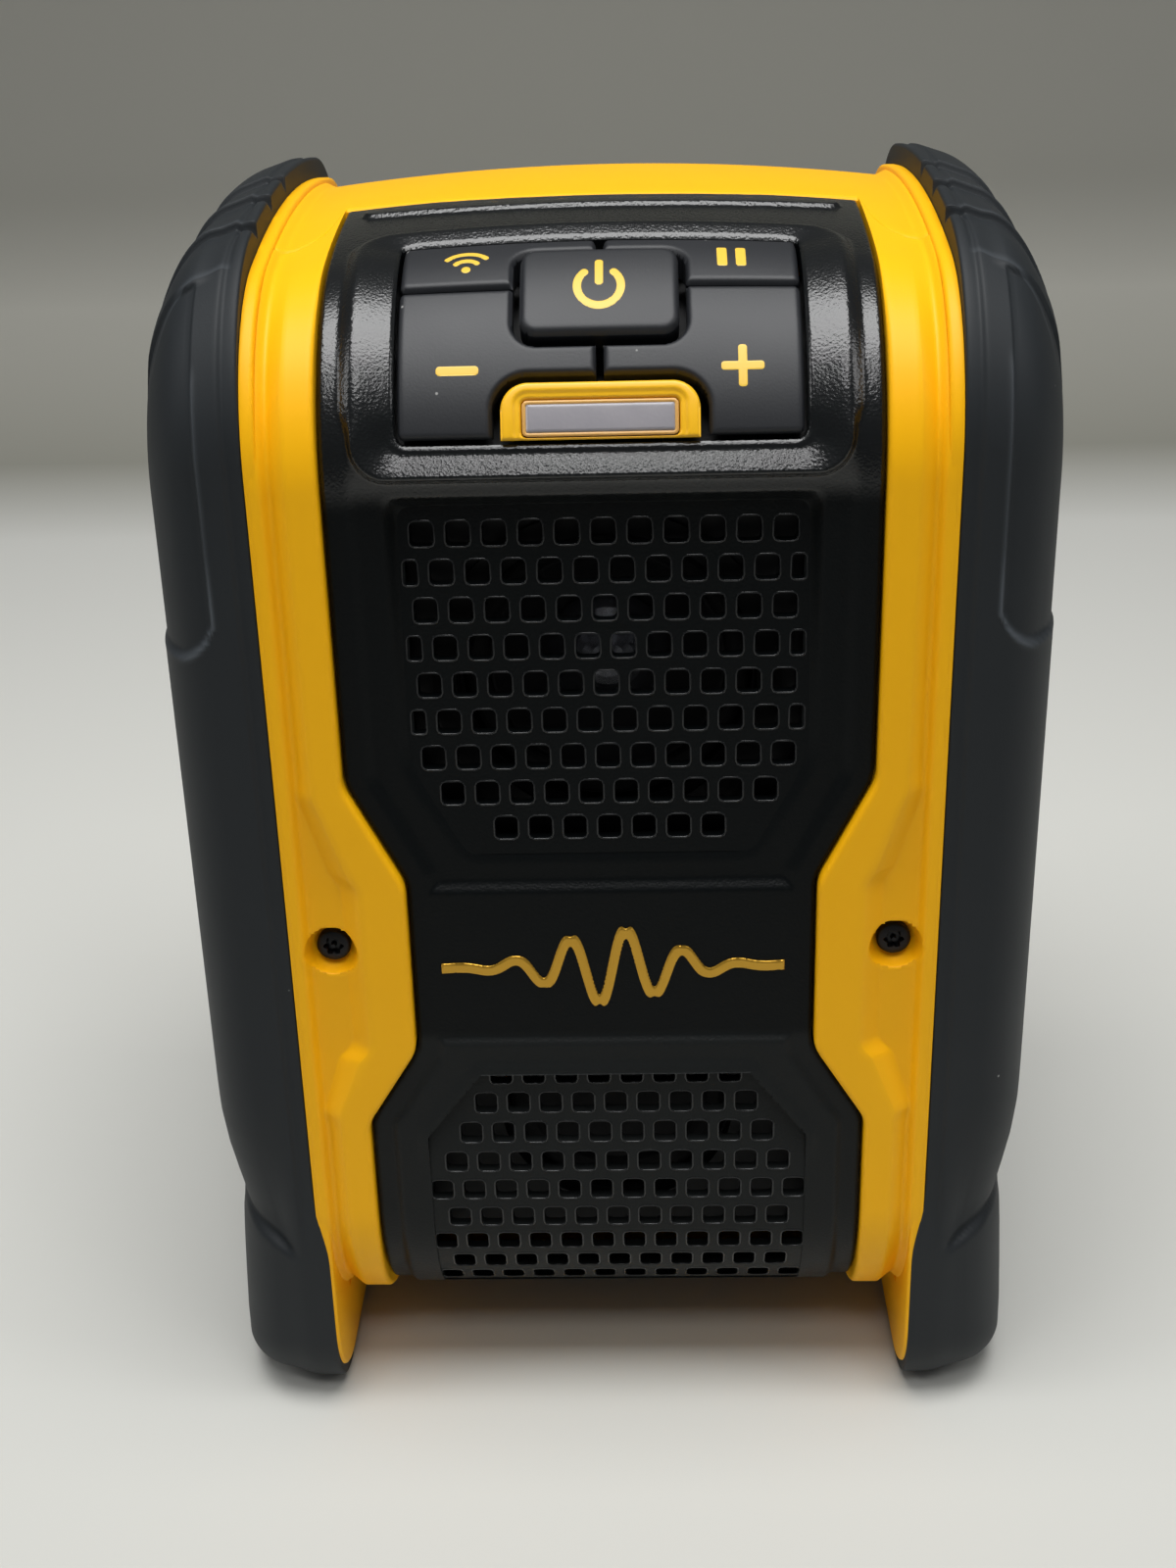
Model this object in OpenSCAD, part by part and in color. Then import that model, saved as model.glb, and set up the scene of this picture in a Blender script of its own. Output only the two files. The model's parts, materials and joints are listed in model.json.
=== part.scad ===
// Cordless wireless speaker with rubber bumpers, a waisted front panel and a battery dock.
// Millimetres, Z up, front towards -Y, origin at the centre of the footprint on the floor.

/* [Overall] */
// Width over both rubber bumpers
overall_width = 126; // [116:1:140]
// Depth over both rubber bumpers
overall_depth = 107; // [100:1:120]
// Height to the crest of the ears
overall_height = 188; // [184:1:196]
// Width across the yellow cheek lips
flange_width = 94; // [90:1:98]

/* [Casing] */
// Thickness of the moulded walls
wall = 2.5; // [2:0.1:3]
// Thickness of the cheeks
cheek = 2; // [1.5:0.1:3]
// How far the rubber stands in front of the cheek lip
rubber_proud = 0.5; // [0.2:0.1:1.5]
// How far the rails lie behind the cheek lip
rail_set = 1; // [0.5:0.1:2]
// Depth of the dock bay between the rear cheeks
bay_depth = 12; // [10:1:16]
// Drop from the ear crest to the cheek crest
ear_rise = 3.6; // [2.5:0.1:5]
// Drop from the cheek crest to the roof edge
roof_drop = 1.8; // [1:0.1:3]
// Distance of the crest behind the lip plane
crest_back = 62; // [55:1:70]
// Radius of the front shoulder
shoulder_r = 26; // [22:1:30]
// Radius of the roof line
roof_r = 185; // [160:5:220]
// Radius of the rear shoulder
rear_r = 18; // [12:1:24]
// Height of the underside over the floor
belly_z = 12.5; // [9:0.5:16]
// Height of the lower end of the cheeks over the floor
cheek_foot = 2; // [1.5:0.1:4]
// Gap along the seam of the two casing halves
seam = 0.2; // [0.1:0.05:0.4]
// Distance of the seam behind the lip plane
seam_back = 27; // [24:1:32]

/* [Bumpers] */
// Width of the flat strip next to the lip
strip_w = 2.6; // [2:0.1:3.5]
// Width of the soft band outside the strip
band_w = 3.7; // [3:0.1:5]
// Depth of the creases between strip, band and side
crease = 0.6; // [0.3:0.1:1]
// How far the outer corner is rounded back
corner_back = 17; // [14:1:22]
// Fall of the ear crest for each millimetre outwards
ear_slope = 0.33; // [0:0.01:0.6]
// Further fall of the ear crest towards the outer corner, even part and round part
ear_fall = [7.2, 8.5];
// Depth of the tread steps on the ears
tread = 2.2; // [1:0.1:3]
// Distance between the tread steps
tread_pitch = 14; // [12:1:16]
// Distance of the first tread step behind the lip plane
tread_start = 24; // [22:1:28]
// Depth of the side pad
pad_depth = 0.9; // [0.5:0.1:1.5]
// Height of the lower end of the side pad
pad_z = 115; // [100:1:125]
// Step above the foot
foot_step = 1.8; // [1:0.1:3]
// Height of the step above the foot
foot_z = 34; // [28:1:40]

/* [Front panel] */
// Half width of the panel
panel_half = 37; // [35:0.5:39]
// Half width of the panel at the waist
waist_half = 29.2; // [27:0.2:32]
// Heights where the waist begins and ends, from the top down
waist_z = [110.4, 94.9, 67.4, 54.9];
// Height of the lower end of the panel
panel_bottom = 16; // [15:0.5:20]
// Distance of the upper end of the panel behind the lip plane
panel_top_back = 41; // [36:1:42]
// Gap between the panel and the frame
panel_fit = 0.3; // [0.2:0.05:0.6]
// Thickness of the panel
panel_t = 3; // [2.4:0.1:4]
// Width of the rim round the panel fields
rim_w = 2.2; // [1.5:0.1:3]
// Height of the raised lip of the frame round the panel
lip_rise = 1; // [0.5:0.1:2]
// Width of the raised lip of the frame
lip_w = 5.8; // [4:0.1:7]
// Depth of the field round each grille
field_depth = 0.7; // [0.4:0.1:1.2]

/* [Grilles] */
// Distance between columns of holes
hole_pitch = 4.9; // [4.5:0.1:5.5]
// Width of a hole
hole_w = 3.2; // [2.6:0.1:3.6]
// Height of a hole
hole_h = 3.4; // [2.6:0.1:3.8]
// Corner radius of a hole
hole_r = 0.9; // [0.5:0.1:1.4]
// Holes in each row of the upper grille, from the top down
upper_rows = [11, 12, 11, 12, 11, 12, 11, 10, 7];
// Height of the top row of the upper grille
upper_z = 145.8; // [140:0.1:148]
// Distance between rows of the upper grille
upper_pitch = 5.36; // [5:0.02:5.6]
// Holes in each row of the lower grille, from the top down
lower_rows = [8, 9, 10, 11, 12, 11, 12, 11, 12];
// Height of the top row of the lower grille
lower_z = 62.7; // [60:0.1:64]
// Distance between rows of the lower grille
lower_pitch = 5.08; // [4.8:0.02:5.4]
// Depth of the grille floors under the rim, at the top and bottom of the upper grille
upper_floor = [3.4, 1.3];
// Depth of the lower grille floor under the rim
lower_floor = 1.6; // [1:0.1:2.5]
// Thickness of the plate that carries the holes
mesh_t = 1.8; // [1.4:0.1:2.5]

/* [Controls] */
// Half width of the key field
key_half = 26.5; // [24:0.5:28]
// Angle of the press direction over the horizontal
key_tilt = 48; // [42:1:54]
// Gap round the keys
key_gap = 0.5; // [0.4:0.05:0.8]
// Press travel of the keys
key_travel = 0.8; // [0.5:0.1:1]
// Lower and upper end of the key field along the slope
key_ends = [-14.6, 14.6];
// Split between the volume keys and the upper keys along the slope
key_split = 5.7; // [4:0.1:8]
// Width and height of the power key
power_size = [21, 13.2];
// Middle of the power key along the slope
power_mid = 4.7; // [3:0.1:6]
// How far the power key stands out
power_rise = 1; // [0.5:0.1:1.5]
// Width and height of the indicator frame
lamp_size = [26, 6.6];
// Width and height of the indicator lens
lens_size = [20.4, 4];
// How far the bezel stands out over the rails
bezel_rise = 1; // [0.5:0.1:1.5]
// Width of the bezel round the keys
bezel_w = 7; // [5:0.5:9]

/* [Driver] */
// Height of the driver axis
driver_z = 123.4; // [120:0.2:126]
// Radius of the driver flange
driver_r = 24.5; // [22:0.5:26]
// Height of the passive radiator axis
radiator_z = 52.5; // [50:0.5:56]
// Radius of the radiator frame
radiator_r = 21.5; // [19:0.5:23]
// Thickness of the baffle
baffle_t = 3; // [2:0.5:4]
// Travel of the cones each way
cone_travel = 1.5; // [1:0.1:2]

/* [Dock] */
// Width between the dock rails
dock_gap = 52; // [48:1:58]
// Length of the dock rails
dock_len = 84; // [70:1:95]
// Height of the lower end of the dock
dock_z = 48; // [40:1:60]

/* [Screws] */
// Side position of the waist screws
screw_x = 41; // [40:0.2:42]
// Height of the waist screws
screw_z = 83.8; // [78:0.2:88]
// Depth of the counterbore floors behind the lip plane
bore_in = 5; // [3.4:0.1:5.4]
// Radius of the counterbores
bore_r = 3.8; // [3.4:0.1:4]
// Radius of the screw heads
head_r = 2.95; // [2.5:0.05:3.3]
// Radius of the screw shanks
shank_r = 1.5; // [1.2:0.1:1.8]

/* [Hidden] */
$fn = 40;
eps = 0.01;
base_height = 188;
lift = overall_height - base_height;
waist = [waist_z[0] + lift, waist_z[1] + lift, waist_z[2], waist_z[3]];
waist_fix = screw_z + lift / 2;
drive_z = driver_z + lift;
far = 400;
y0 = -overall_depth / 2 + rubber_proud;
y_rear = overall_depth / 2 - rubber_proud;
cheek_out = flange_width / 2;
cheek_in = cheek_out - cheek;
crest_y = y0 + crest_back;
rail_y = y0 + rail_set;
cheek_top = overall_height - ear_rise;
roof_top = cheek_top - roof_drop;
back_y = y_rear - bay_depth;
key_z = roof_top - roof_r + sqrt(pow(roof_r - shoulder_r, 2) - pow(crest_y - rail_y - shoulder_r, 2));
key_y = rail_y + shoulder_r;
inner_half = cheek_in + 0.5;
ledge_front = panel_t + 0.6;
ledge_back = ledge_front + 2;
baffle_y = y0 + 8.4;
baffle_back = baffle_y + baffle_t;
baffle_half = 36;
baffle_ends = [30.5, 147.6 + lift];
board_y = back_y - wall - 10;
board_t = 1.6;
post_r = 3.6;
post_x = cheek_in - post_r - 0.3;
rear_posts = [[post_x, 42], [post_x, 138 + lift]];
post_meet = back_y - 38;
baffle_fix = [36, 138 + lift];
board_fix = [48, 122 + lift];
board_ends = [40, 132 + lift];
dock_fix_x = 32.2;
driver_fix_r = driver_r - 1.6;
n_key_floor = 19.4;
n_flange = 1;
n_stem = 15;
n_guide = 17;
guide_t = 1.4;
n_board = 10.4;
guide_size = [2 * (key_half + 5.6), 29];
guide_screw = [key_half + 4, 9];
upper_half = 27.3;
upper_ends = [149.3 + lift, 99.8 + lift];
upper_cut = [113 + lift, 19.6];
lower_half = 28.9;
lower_top = [62.5, 20.2];
lower_cut = 51.5;
upper_band = [93 + lift, 154 + lift];
lower_band = [panel_bottom + rim_w, 69];

// Points on an arc, angles in degrees
function arc(c, r, a0, a1, n) = [for (k = [0 : n]) c + r * [cos(a0 + (a1 - a0) * k / n), sin(a0 + (a1 - a0) * k / n)]];

// Height of the shoulder centre that lets the shoulder run smoothly into the roof line
function shoulder_z(side, top, rs, rr) = top - rr + sqrt(pow(rr - rs, 2) - pow(crest_y - side, 2));

// Closed outline in the Y-Z plane: front, shoulder, roof line, rear shoulder, back, underside
function outline(front, back, top, bottom, rs, rr, rt, rfb, rrb) =
    let (
        c1 = [front + rs, shoulder_z(front + rs, top, rs, rr)],
        c2 = [crest_y, top - rr],
        c3 = [back - rt, shoulder_z(back - rt, top, rt, rr)],
        a1 = atan2(c1[1] - c2[1], c1[0] - c2[0]),
        a3 = atan2(c3[1] - c2[1], c3[0] - c2[0])
    )
    concat(
        arc([front + rfb, bottom + rfb], rfb, 270, 180, 8),
        arc(c1, rs, 180, a1, 9),
        [for (k = [1 : 7]) let (a = a1 + (a3 - a1) * k / 8) c2 + rr * [cos(a), sin(a)]],
        arc(c3, rt, a3, 0, 6),
        arc([back - rrb, bottom + rrb], rrb, 0, -90, 5)
    );

// Casing outline, taken inwards by i
function core(i = 0) = outline(
    rail_y + i, back_y - i, roof_top - i, belly_z + i,
    shoulder_r - i, roof_r - i, rear_r - i, shoulder_r - i, 10 - i);

// Cheek outline
function cheek_line(i = 0) = outline(
    y0 + i, y_rear - i, cheek_top - i, cheek_foot + i, 24.5 - i, roof_r - i, 24 - i, 13 - i, 13 - i);

// Front surface of the casing at height z, taken inwards by i
function front_at(z, i = 0) =
    z > key_z ? key_y - sqrt(pow(shoulder_r - i, 2) - pow(min(z - key_z, shoulder_r - i - eps), 2)) :
    z < belly_z + shoulder_r ? key_y - sqrt(pow(shoulder_r - i, 2) - pow(belly_z + shoulder_r - z, 2)) :
    rail_y + i;

// Closed skin through a list of rings with equal point counts
module skin(rings) {
    n = len(rings[0]);
    m = len(rings);
    polyhedron(
        points = [for (r = rings) each r],
        faces = concat(
            [[for (k = [0 : n - 1]) k]],
            [for (j = [0 : m - 2]) for (k = [0 : n - 1]) [j * n + k, (j + 1) * n + k, (j + 1) * n + (k + 1) % n]],
            [for (j = [0 : m - 2]) for (k = [0 : n - 1]) [j * n + k, (j + 1) * n + (k + 1) % n, j * n + (k + 1) % n]],
            [[for (k = [n - 1 : -1 : 0]) (m - 1) * n + k]]
        ),
        convexity = 8);
}

// Extrudes a Y-Z outline along X between two positions
module along_x(x0, x1) {
    translate([x0, 0, 0]) rotate([90, 0, 90]) linear_extrude(x1 - x0, convexity = 8) children();
}

// Extrudes an X-Z outline along Y between two positions
module along_y(ya, yb) {
    translate([0, yb, 0]) rotate([90, 0, 0]) linear_extrude(yb - ya, convexity = 8) children();
}

// Both sides, left and right
module pair() {
    children();
    mirror([1, 0, 0]) children();
}

module core_bar(i, half = inner_half) {
    along_x(-half, half) polygon(core(i));
}

// Outline of the panel seen from the front, taken outwards by o
module panel_outline(o, top = far, bottom = panel_bottom) {
    h = panel_half + o;
    w = waist_half + o;
    k = o * 0.4;
    polygon([
        [h, top], [h, waist[0] - k], [w, waist[1] - k], [w, waist[2] + k], [h, waist[3] + k], [h, bottom - o],
        [-h, bottom - o], [-h, waist[3] + k], [-w, waist[2] + k], [-w, waist[1] - k], [-h, waist[0] - k],
        [-h, top]
    ]);
}

// Part of the panel inside its rim between two heights
module panel_band(ends) {
    intersection() {
        panel_outline(-rim_w);
        translate([-far, ends[0]]) square([2 * far, ends[1] - ends[0]]);
    }
}

// Everything the panel takes from the casing, taken outwards by o
module panel_window(o) {
    along_y(-far, y0 + panel_top_back + o) panel_outline(o);
}

// Part of the casing in front of the seam, moved by s
module front_side(s) {
    seam_line = [
        [cheek_in + eps, seam_back], [panel_half + 5, seam_back + 0.8], [panel_half + 2.6, seam_back + 3.4],
        [panel_half + 1.2, seam_back + 7], [panel_half + 0.6, panel_top_back + 0.4]
    ];
    translate([0, 0, -eps])
        linear_extrude(far)
            polygon(concat(
                [[far, -far], [far, y0 + seam_back + s]],
                [for (p = seam_line) [p[0], y0 + p[1] + s]],
                [for (k = [len(seam_line) - 1 : -1 : 0]) [-seam_line[k][0], y0 + seam_line[k][1] + s]],
                [[-far, y0 + seam_back + s], [-far, -far]]));
}

// Walls of the whole casing, before it is parted
module casing_walls() {
    difference() {
        core_bar(0);
        core_bar(wall, cheek_in + 1);
    }
    pair() along_x(cheek_in, cheek_out) polygon(cheek_line());
}

// Raised lip of the frame along one side of the panel
module panel_lip() {
    heights = [
        panel_bottom, 18.5, 21.5, 25, 29.5, 34, belly_z + shoulder_r, waist[3], waist[2], waist[1], waist[0],
        key_z, key_z + 6, key_z + 11.5, key_z + 16, key_z + 19.5, key_z + 22, key_z + 23.6
    ];
    skin([for (z = heights)
        let (
            x = lip_x(z),
            w = min(lip_w, cheek_in - x - 0.8),
            y = front_at(z, 0)
        )
        [
            [x, front_at(z, 2), z], [x, front_at(z, -lip_rise), z], [x + w * 0.55, front_at(z, -lip_rise), z],
            [x + w, y + 0.4, z], [x + w, front_at(z, 2), z]
        ]]);
}

// Side position of the frame edge beside the panel at height z
function lip_x(z) =
    panel_fit + (
        z >= waist[0] || z <= waist[3] ? panel_half :
        z <= waist[1] && z >= waist[2] ? waist_half :
        z > waist[1] ? waist_half + (panel_half - waist_half) * (z - waist[1]) / (waist[0] - waist[1]) :
        waist_half + (panel_half - waist_half) * (waist[2] - z) / (waist[2] - waist[3]));

// Ledge under the edge of the panel
module panel_ledge() {
    difference() {
        intersection() {
            difference() {
                core_bar(wall - 0.5);
                core_bar(ledge_back);
            }
            panel_window(panel_fit + 2);
        }
        intersection() {
            core_bar(wall - 1, far);
            panel_window(panel_fit);
            difference() {
                cube(3 * far, center = true);
                core_bar(ledge_front, far);
            }
        }
        panel_window(-3.5);
    }
}

module screw_bore(x, z) {
    translate([x, y0 + bore_in, z]) rotate([90, 0, 0]) cylinder(r = bore_r, h = far);
    translate([x, y0 + far, z]) rotate([90, 0, 0]) cylinder(r = shank_r + 0.2, h = far + far);
}

module front_frame() {
    color([0.91, 0.65, 0.12])
        difference() {
            union() {
                intersection() {
                    casing_walls();
                    front_side(-seam / 2);
                }
                intersection() {
                    panel_ledge();
                    front_side(-seam / 2);
                }
                pair() panel_lip();
                pair() translate([screw_x, y0 + 7, waist_fix]) rotate([90, 0, 0]) cylinder(r = bore_r + 1.4, h = 5);
                for (z = baffle_fix) {
                    pair() translate([panel_half - 3.4, baffle_y, z]) rotate([90, 0, 0]) cylinder(r = 2.6, h = 3.6);
                }
                for (p = rear_posts) {
                    pair() translate([p[0], post_meet, p[1]]) rotate([90, 0, 0]) cylinder(r = post_r, h = post_meet - y0 - 1.5);
                }
            }
            panel_window_front();
            pair() screw_bore(screw_x, waist_fix);
            for (z = baffle_fix) {
                pair() translate([panel_half - 3.4, baffle_y + 1, z]) rotate([90, 0, 0]) cylinder(r = 1.1, h = 4);
            }
            for (p = rear_posts) {
                pair() translate([p[0], post_meet + 1, p[1]]) rotate([90, 0, 0]) cylinder(r = 1.3, h = 24);
            }
        }
}

// Space of the panel itself, down to the ledge
module panel_window_front() {
    intersection() {
        panel_window(panel_fit);
        difference() {
            cube(3 * far, center = true);
            core_bar(ledge_front, far);
        }
    }
}

module rear_housing() {
    color([0.91, 0.65, 0.12])
        difference() {
            union() {
                difference() {
                    casing_walls();
                    front_side(seam / 2);
                }
                pair() translate([screw_x, back_y - 1, waist_fix])
                    rotate([90, 0, 0]) cylinder(r = post_r, h = back_y - 1 - (y0 + 7 + seam));
                for (p = rear_posts) {
                    pair() translate([p[0], back_y - 1, p[1]])
                        rotate([90, 0, 0]) cylinder(r = post_r, h = back_y - 1 - post_meet - seam);
                }
                for (x = [-26, 26]) {
                    for (z = board_fix) {
                        translate([x, back_y - 1, z])
                            rotate([90, 0, 0]) cylinder(r = 3, h = back_y - 1 - board_y - board_t);
                    }
                }
            }
            panel_window(panel_fit);
            pair() translate([screw_x, y0 + 34, waist_fix]) rotate([90, 0, 0]) cylinder(r = 1.3, h = 40);
            for (p = rear_posts) {
                pair() {
                    translate([p[0], back_y + 1, p[1]]) rotate([90, 0, 0]) cylinder(r = head_r + 0.3, h = 12);
                    translate([p[0], back_y, p[1]]) rotate([90, 0, 0]) cylinder(r = shank_r + 0.2, h = far);
                }
            }
            for (x = [-26, 26]) {
                for (z = board_fix) {
                    translate([x, board_y + 6, z]) rotate([90, 0, 0]) cylinder(r = 1, h = 8);
                }
            }
            translate([-19, back_y - wall - 2, dock_z + 12]) cube([38, wall + 4, 12]);
            for (x = [-dock_fix_x, dock_fix_x]) {
                for (z = [dock_z + 8, dock_z + dock_len]) {
                    translate([x, back_y + 1, z]) rotate([90, 0, 0]) cylinder(r = 1.2, h = wall + 2);
                }
            }
        }
}

// Outline of the bumper, one ring at distance u outside the cheek
function bumper_ring(u) =
    let (
        w = (overall_width - flange_width) / 2,
        u0 = strip_w + band_w,
        t = u <= u0 ? 0 : min(1, (u - u0) / (w - u0)),
        step = u <= strip_w ? 0 : u <= u0 ? 0.5 : 1.1,
        q = 1 - sqrt(1 - t * t),
        i = step + corner_back * q,
        drop = ear_slope * max(0, u - 1) + ear_fall[0] * t * t + ear_fall[1] * q,
        groove = abs(u - strip_w - 0.25) < 0.1 || abs(u - u0 - 0.25) < 0.1 ? crease : 0,
        front = -overall_depth / 2 + i + groove,
        back = overall_depth / 2 - i - groove,
        top = overall_height - drop - groove,
        foot = u > u0 ? foot_step : 0,
        pad = u > u0 + 0.3 && u < w ? pad_depth : 0,
        rs = 27.3 - 13.8 * q,
        rr = roof_r + 18 - i,
        rt = 25 - min(i, 12),
        rb = max(13.5 - i, 3),
        bottom = 0.42 * (i - step),
        c1 = [front + rs, shoulder_z(front + rs, top, rs, rr)],
        c2 = [crest_y, top - rr],
        c3 = [back - rt, shoulder_z(back - rt, top, rt, rr)],
        a1 = atan2(c1[1] - c2[1], c1[0] - c2[0]),
        a3 = atan2(c3[1] - c2[1], c3[0] - c2[0]),
        fade = u > 11 ? 0 : 1,
        y_arc = c1[0] + rs * cos(a1)
    )
    [for (p = concat(
        arc([front + rb + foot, bottom + rb], rb, 270, 180, 5),
        [
            [front + foot, foot_z - 0.8], [front, foot_z + 0.8], [front, pad_z - 0.5], [front + pad, pad_z + 0.5]
        ],
        [for (q = arc(c1, rs, 180, 150, 3)) q + [pad, 0]],
        arc(c1, rs, 148, a1, 6),
        [for (k = [0 : 2]) each tread_points(tread_start + k * tread_pitch, c2, rr, fade * tread, y_arc)],
        [for (k = [0 : 3]) let (y = crest_y + 4 + k * (c2[0] + rr * cos(a3) - crest_y - 5) / 3) [y, line_z(y, c2, rr)]],
        arc(c3, rt, a3, 0, 6),
        arc([back - rb, bottom + rb], rb, 0, -90, 5)
    )) [cheek_out + u, p[0], p[1]]];

// Height of the crest line at y
function line_z(y, c, r) = c[1] + sqrt(r * r - pow(y - c[0], 2));

// Saw-tooth step across the crest line, kept behind the shoulder arc that ends at y_min
function tread_points(b, c, r, d, y_min) =
    let (
        ya = max(y0 + b, y_min + 0.4),
        yb = max(y0 + b + 0.7, y_min + 0.8),
        yc = max(y0 + b + 4.5, y_min + 1.2)
    )
    [[ya, line_z(ya, c, r)], [yb, line_z(yb, c, r) - d], [yc, line_z(yc, c, r) - d * 0.2]];

module bumper() {
    w = (overall_width - flange_width) / 2;
    u0 = strip_w + band_w;
    steps = [0.25, 0.45, 0.63, 0.78, 0.89, 0.96, 1];
    rings = concat(
        [0, strip_w, strip_w + 0.25, strip_w + 0.6, u0, u0 + 0.25, u0 + 0.6],
        [for (t = steps) u0 + (w - u0) * t]);
    difference() {
        skin([for (u = rings) bumper_ring(u)]);
        along_x(cheek_out - 1, cheek_out + w - 5.5)
            polygon(outline(y0 + 10, y_rear - 10, cheek_top - 9, 12, 16, roof_r, 16, 8, 8));
    }
}

module right_bumper() {
    color([0.16, 0.17, 0.18]) bumper();
}

module left_bumper() {
    color([0.16, 0.17, 0.18]) mirror([1, 0, 0]) bumper();
}

// Rounded square hole
module hole(w, h) {
    r = min(hole_r, w / 2 - 0.1, h / 2 - 0.1);
    polygon([for (s = [[1, 1, 0], [-1, 1, 90], [-1, -1, 180], [1, -1, 270]])
        each arc([s[0] * (w / 2 - r), s[1] * (h / 2 - r)], r, s[2], s[2] + 90, 2)]);
}

// One field of staggered holes, rows listed from the top down and cut off at the height top
module hole_field(rows, z, pitch, half, top) {
    for (r = [0 : len(rows) - 1]) {
        n = rows[r];
        over = max(0, z - r * pitch + hole_h / 2 - top + 0.1);
        for (k = [0 : n - 1]) {
            x = (k - (n - 1) / 2) * hole_pitch;
            cut = max(0, abs(x) + hole_w / 2 - half + 0.6);
            translate([x - sign(x) * cut / 2, z - r * pitch - over / 2]) hole(hole_w - cut, hole_h - over);
        }
    }
}

// Upper grille octagon, taken outwards by o
module upper_octagon(o) {
    h = upper_half + o;
    polygon([
        [h, upper_ends[0] + o], [h, upper_cut[0] - o * 0.4], [upper_cut[1] + o * 0.6, upper_ends[1] - o],
        [-upper_cut[1] - o * 0.6, upper_ends[1] - o], [-h, upper_cut[0] - o * 0.4], [-h, upper_ends[0] + o]
    ]);
}

// Lower grille octagon, taken outwards by o
module lower_octagon(o, bottom) {
    h = lower_half + o;
    polygon([
        [lower_top[1] + o * 0.5, lower_top[0] + o], [h, lower_cut + o * 0.4], [h, bottom], [-h, bottom],
        [-h, lower_cut + o * 0.4], [-lower_top[1] - o * 0.5, lower_top[0] + o]
    ]);
}

// Line of the sloped floor of the upper grille in the Y-Z plane, moved back by d
function slope_line(d) =
    let (
        dz = upper_ends[0] - upper_ends[1],
        dy = upper_floor[0] - upper_floor[1],
        over = 6
    )
    [
        [rail_y + upper_floor[0] + d + dy * over / dz, upper_ends[0] + over],
        [rail_y + upper_floor[1] + d - dy * over / dz, upper_ends[1] - over]
    ];

// Space in front of the sloped floor of the upper grille, moved back by d
module upper_slope(d) {
    line = slope_line(d);
    along_x(-far, far) polygon([[-far, line[0][1]], line[0], line[1], [-far, line[1][1]]]);
}

// Space outside the casing outline taken inwards by i
module outside(i) {
    difference() {
        translate([-far, -far, -far]) cube([2 * far, far + y0 + 60, 3 * far]);
        core_bar(i, far);
    }
}

// Frame of the key field: local X across, local Y up the slope, local Z out of the surface
module at_keys() {
    translate([0, key_y, key_z]) rotate([90 - key_tilt, 0, 0]) children();
}

// Cylinder of the key surface, taken inwards by i
module key_drum(i) {
    rotate([0, 90, 0]) cylinder(r = shoulder_r - i, h = far, center = true, $fn = 120);
}

module rounded(size, r) {
    w = size[0] / 2 - r;
    h = size[1] / 2 - r;
    polygon([for (s = [[1, 1, 0], [-1, 1, 90], [-1, -1, 180], [1, -1, 270]])
        each arc([s[0] * w, s[1] * h], r, s[2], s[2] + 90, 4)]);
}

module key_rect(o, r) {
    translate([0, (key_ends[0] + key_ends[1]) / 2])
        rounded([2 * (key_half + o), key_ends[1] - key_ends[0] + 2 * o], r);
}

// Plate of the upper grille with its holes
module upper_mesh() {
    intersection() {
        along_y(y0 - 2, y0 + 9) difference() {
            upper_octagon(rim_w);
            hole_field(upper_rows, upper_z + lift, upper_pitch, upper_half, upper_ends[0]);
        }
        along_x(-far, far) polygon(concat(slope_line(0), [for (k = [1, 0]) slope_line(mesh_t)[k]]));
    }
}

// Plate of the lower grille with its holes
module lower_mesh() {
    intersection() {
        along_y(y0 - 2, y0 + 20) difference() {
            lower_octagon(0.8, panel_bottom + 1.2);
            hole_field(lower_rows, lower_z, lower_pitch, lower_half, lower_top[0]);
        }
        difference() {
            core_bar(lower_floor, far);
            core_bar(lower_floor + mesh_t, far);
        }
    }
}

// Panel without its grille plates
module panel_plate() {
    difference() {
        union() {
            intersection() {
                difference() {
                    core_bar(0, far / 2);
                    core_bar(panel_t, far);
                }
                panel_window(0);
            }
            intersection() {
                along_y(y0, y0 + 8) upper_octagon(rim_w);
                upper_slope(mesh_t);
                core_bar(0.2, far);
            }
            intersection() {
                at_keys() translate([0, 0, n_guide]) linear_extrude(20) key_rect(bezel_w - 1, 2);
                at_keys() key_drum(-bezel_rise);
                panel_window(0);
            }
        }
        intersection() {
            along_y(y0 - 10, y0 + 20) panel_band(upper_band);
            outside(field_depth);
        }
        intersection() {
            along_y(y0 - 10, y0 + 20) panel_band(lower_band);
            outside(field_depth);
        }
        along_y(y0 - 10, y0 + 20) upper_octagon(0);
        along_y(y0 - 10, y0 + 20) lower_octagon(0, panel_bottom + 2.6);
        at_keys() {
            difference() {
                translate([0, 0, n_guide]) linear_extrude(20) key_rect(bezel_w - 3.5, 2);
                key_drum(-0.3);
            }
            translate([0, 0, 5]) linear_extrude(30) key_rect(key_gap, 1.6);
            translate([0, 0, n_guide - 8]) linear_extrude(8 + n_key_floor - n_guide + 0.3) key_rect(2.2, 1.6);
        }
    }
}

module front_panel() {
    color([0.05, 0.055, 0.06]) {
        panel_plate();
        upper_mesh();
        lower_mesh();
    }
}

// Outline of the power key and its surround, taken outwards by o
module power_outline(o) {
    translate([0, power_mid]) rounded([power_size[0] + 2 * o, power_size[1] + 2 * o], 3 + o);
}

// Outline of the indicator frame, taken outwards by o
module lamp_outline(o) {
    translate([0, key_ends[0] + lamp_size[1] / 2 - o / 2]) rounded([lamp_size[0] + 2 * o, lamp_size[1] + o], 2 + o);
}

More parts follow.
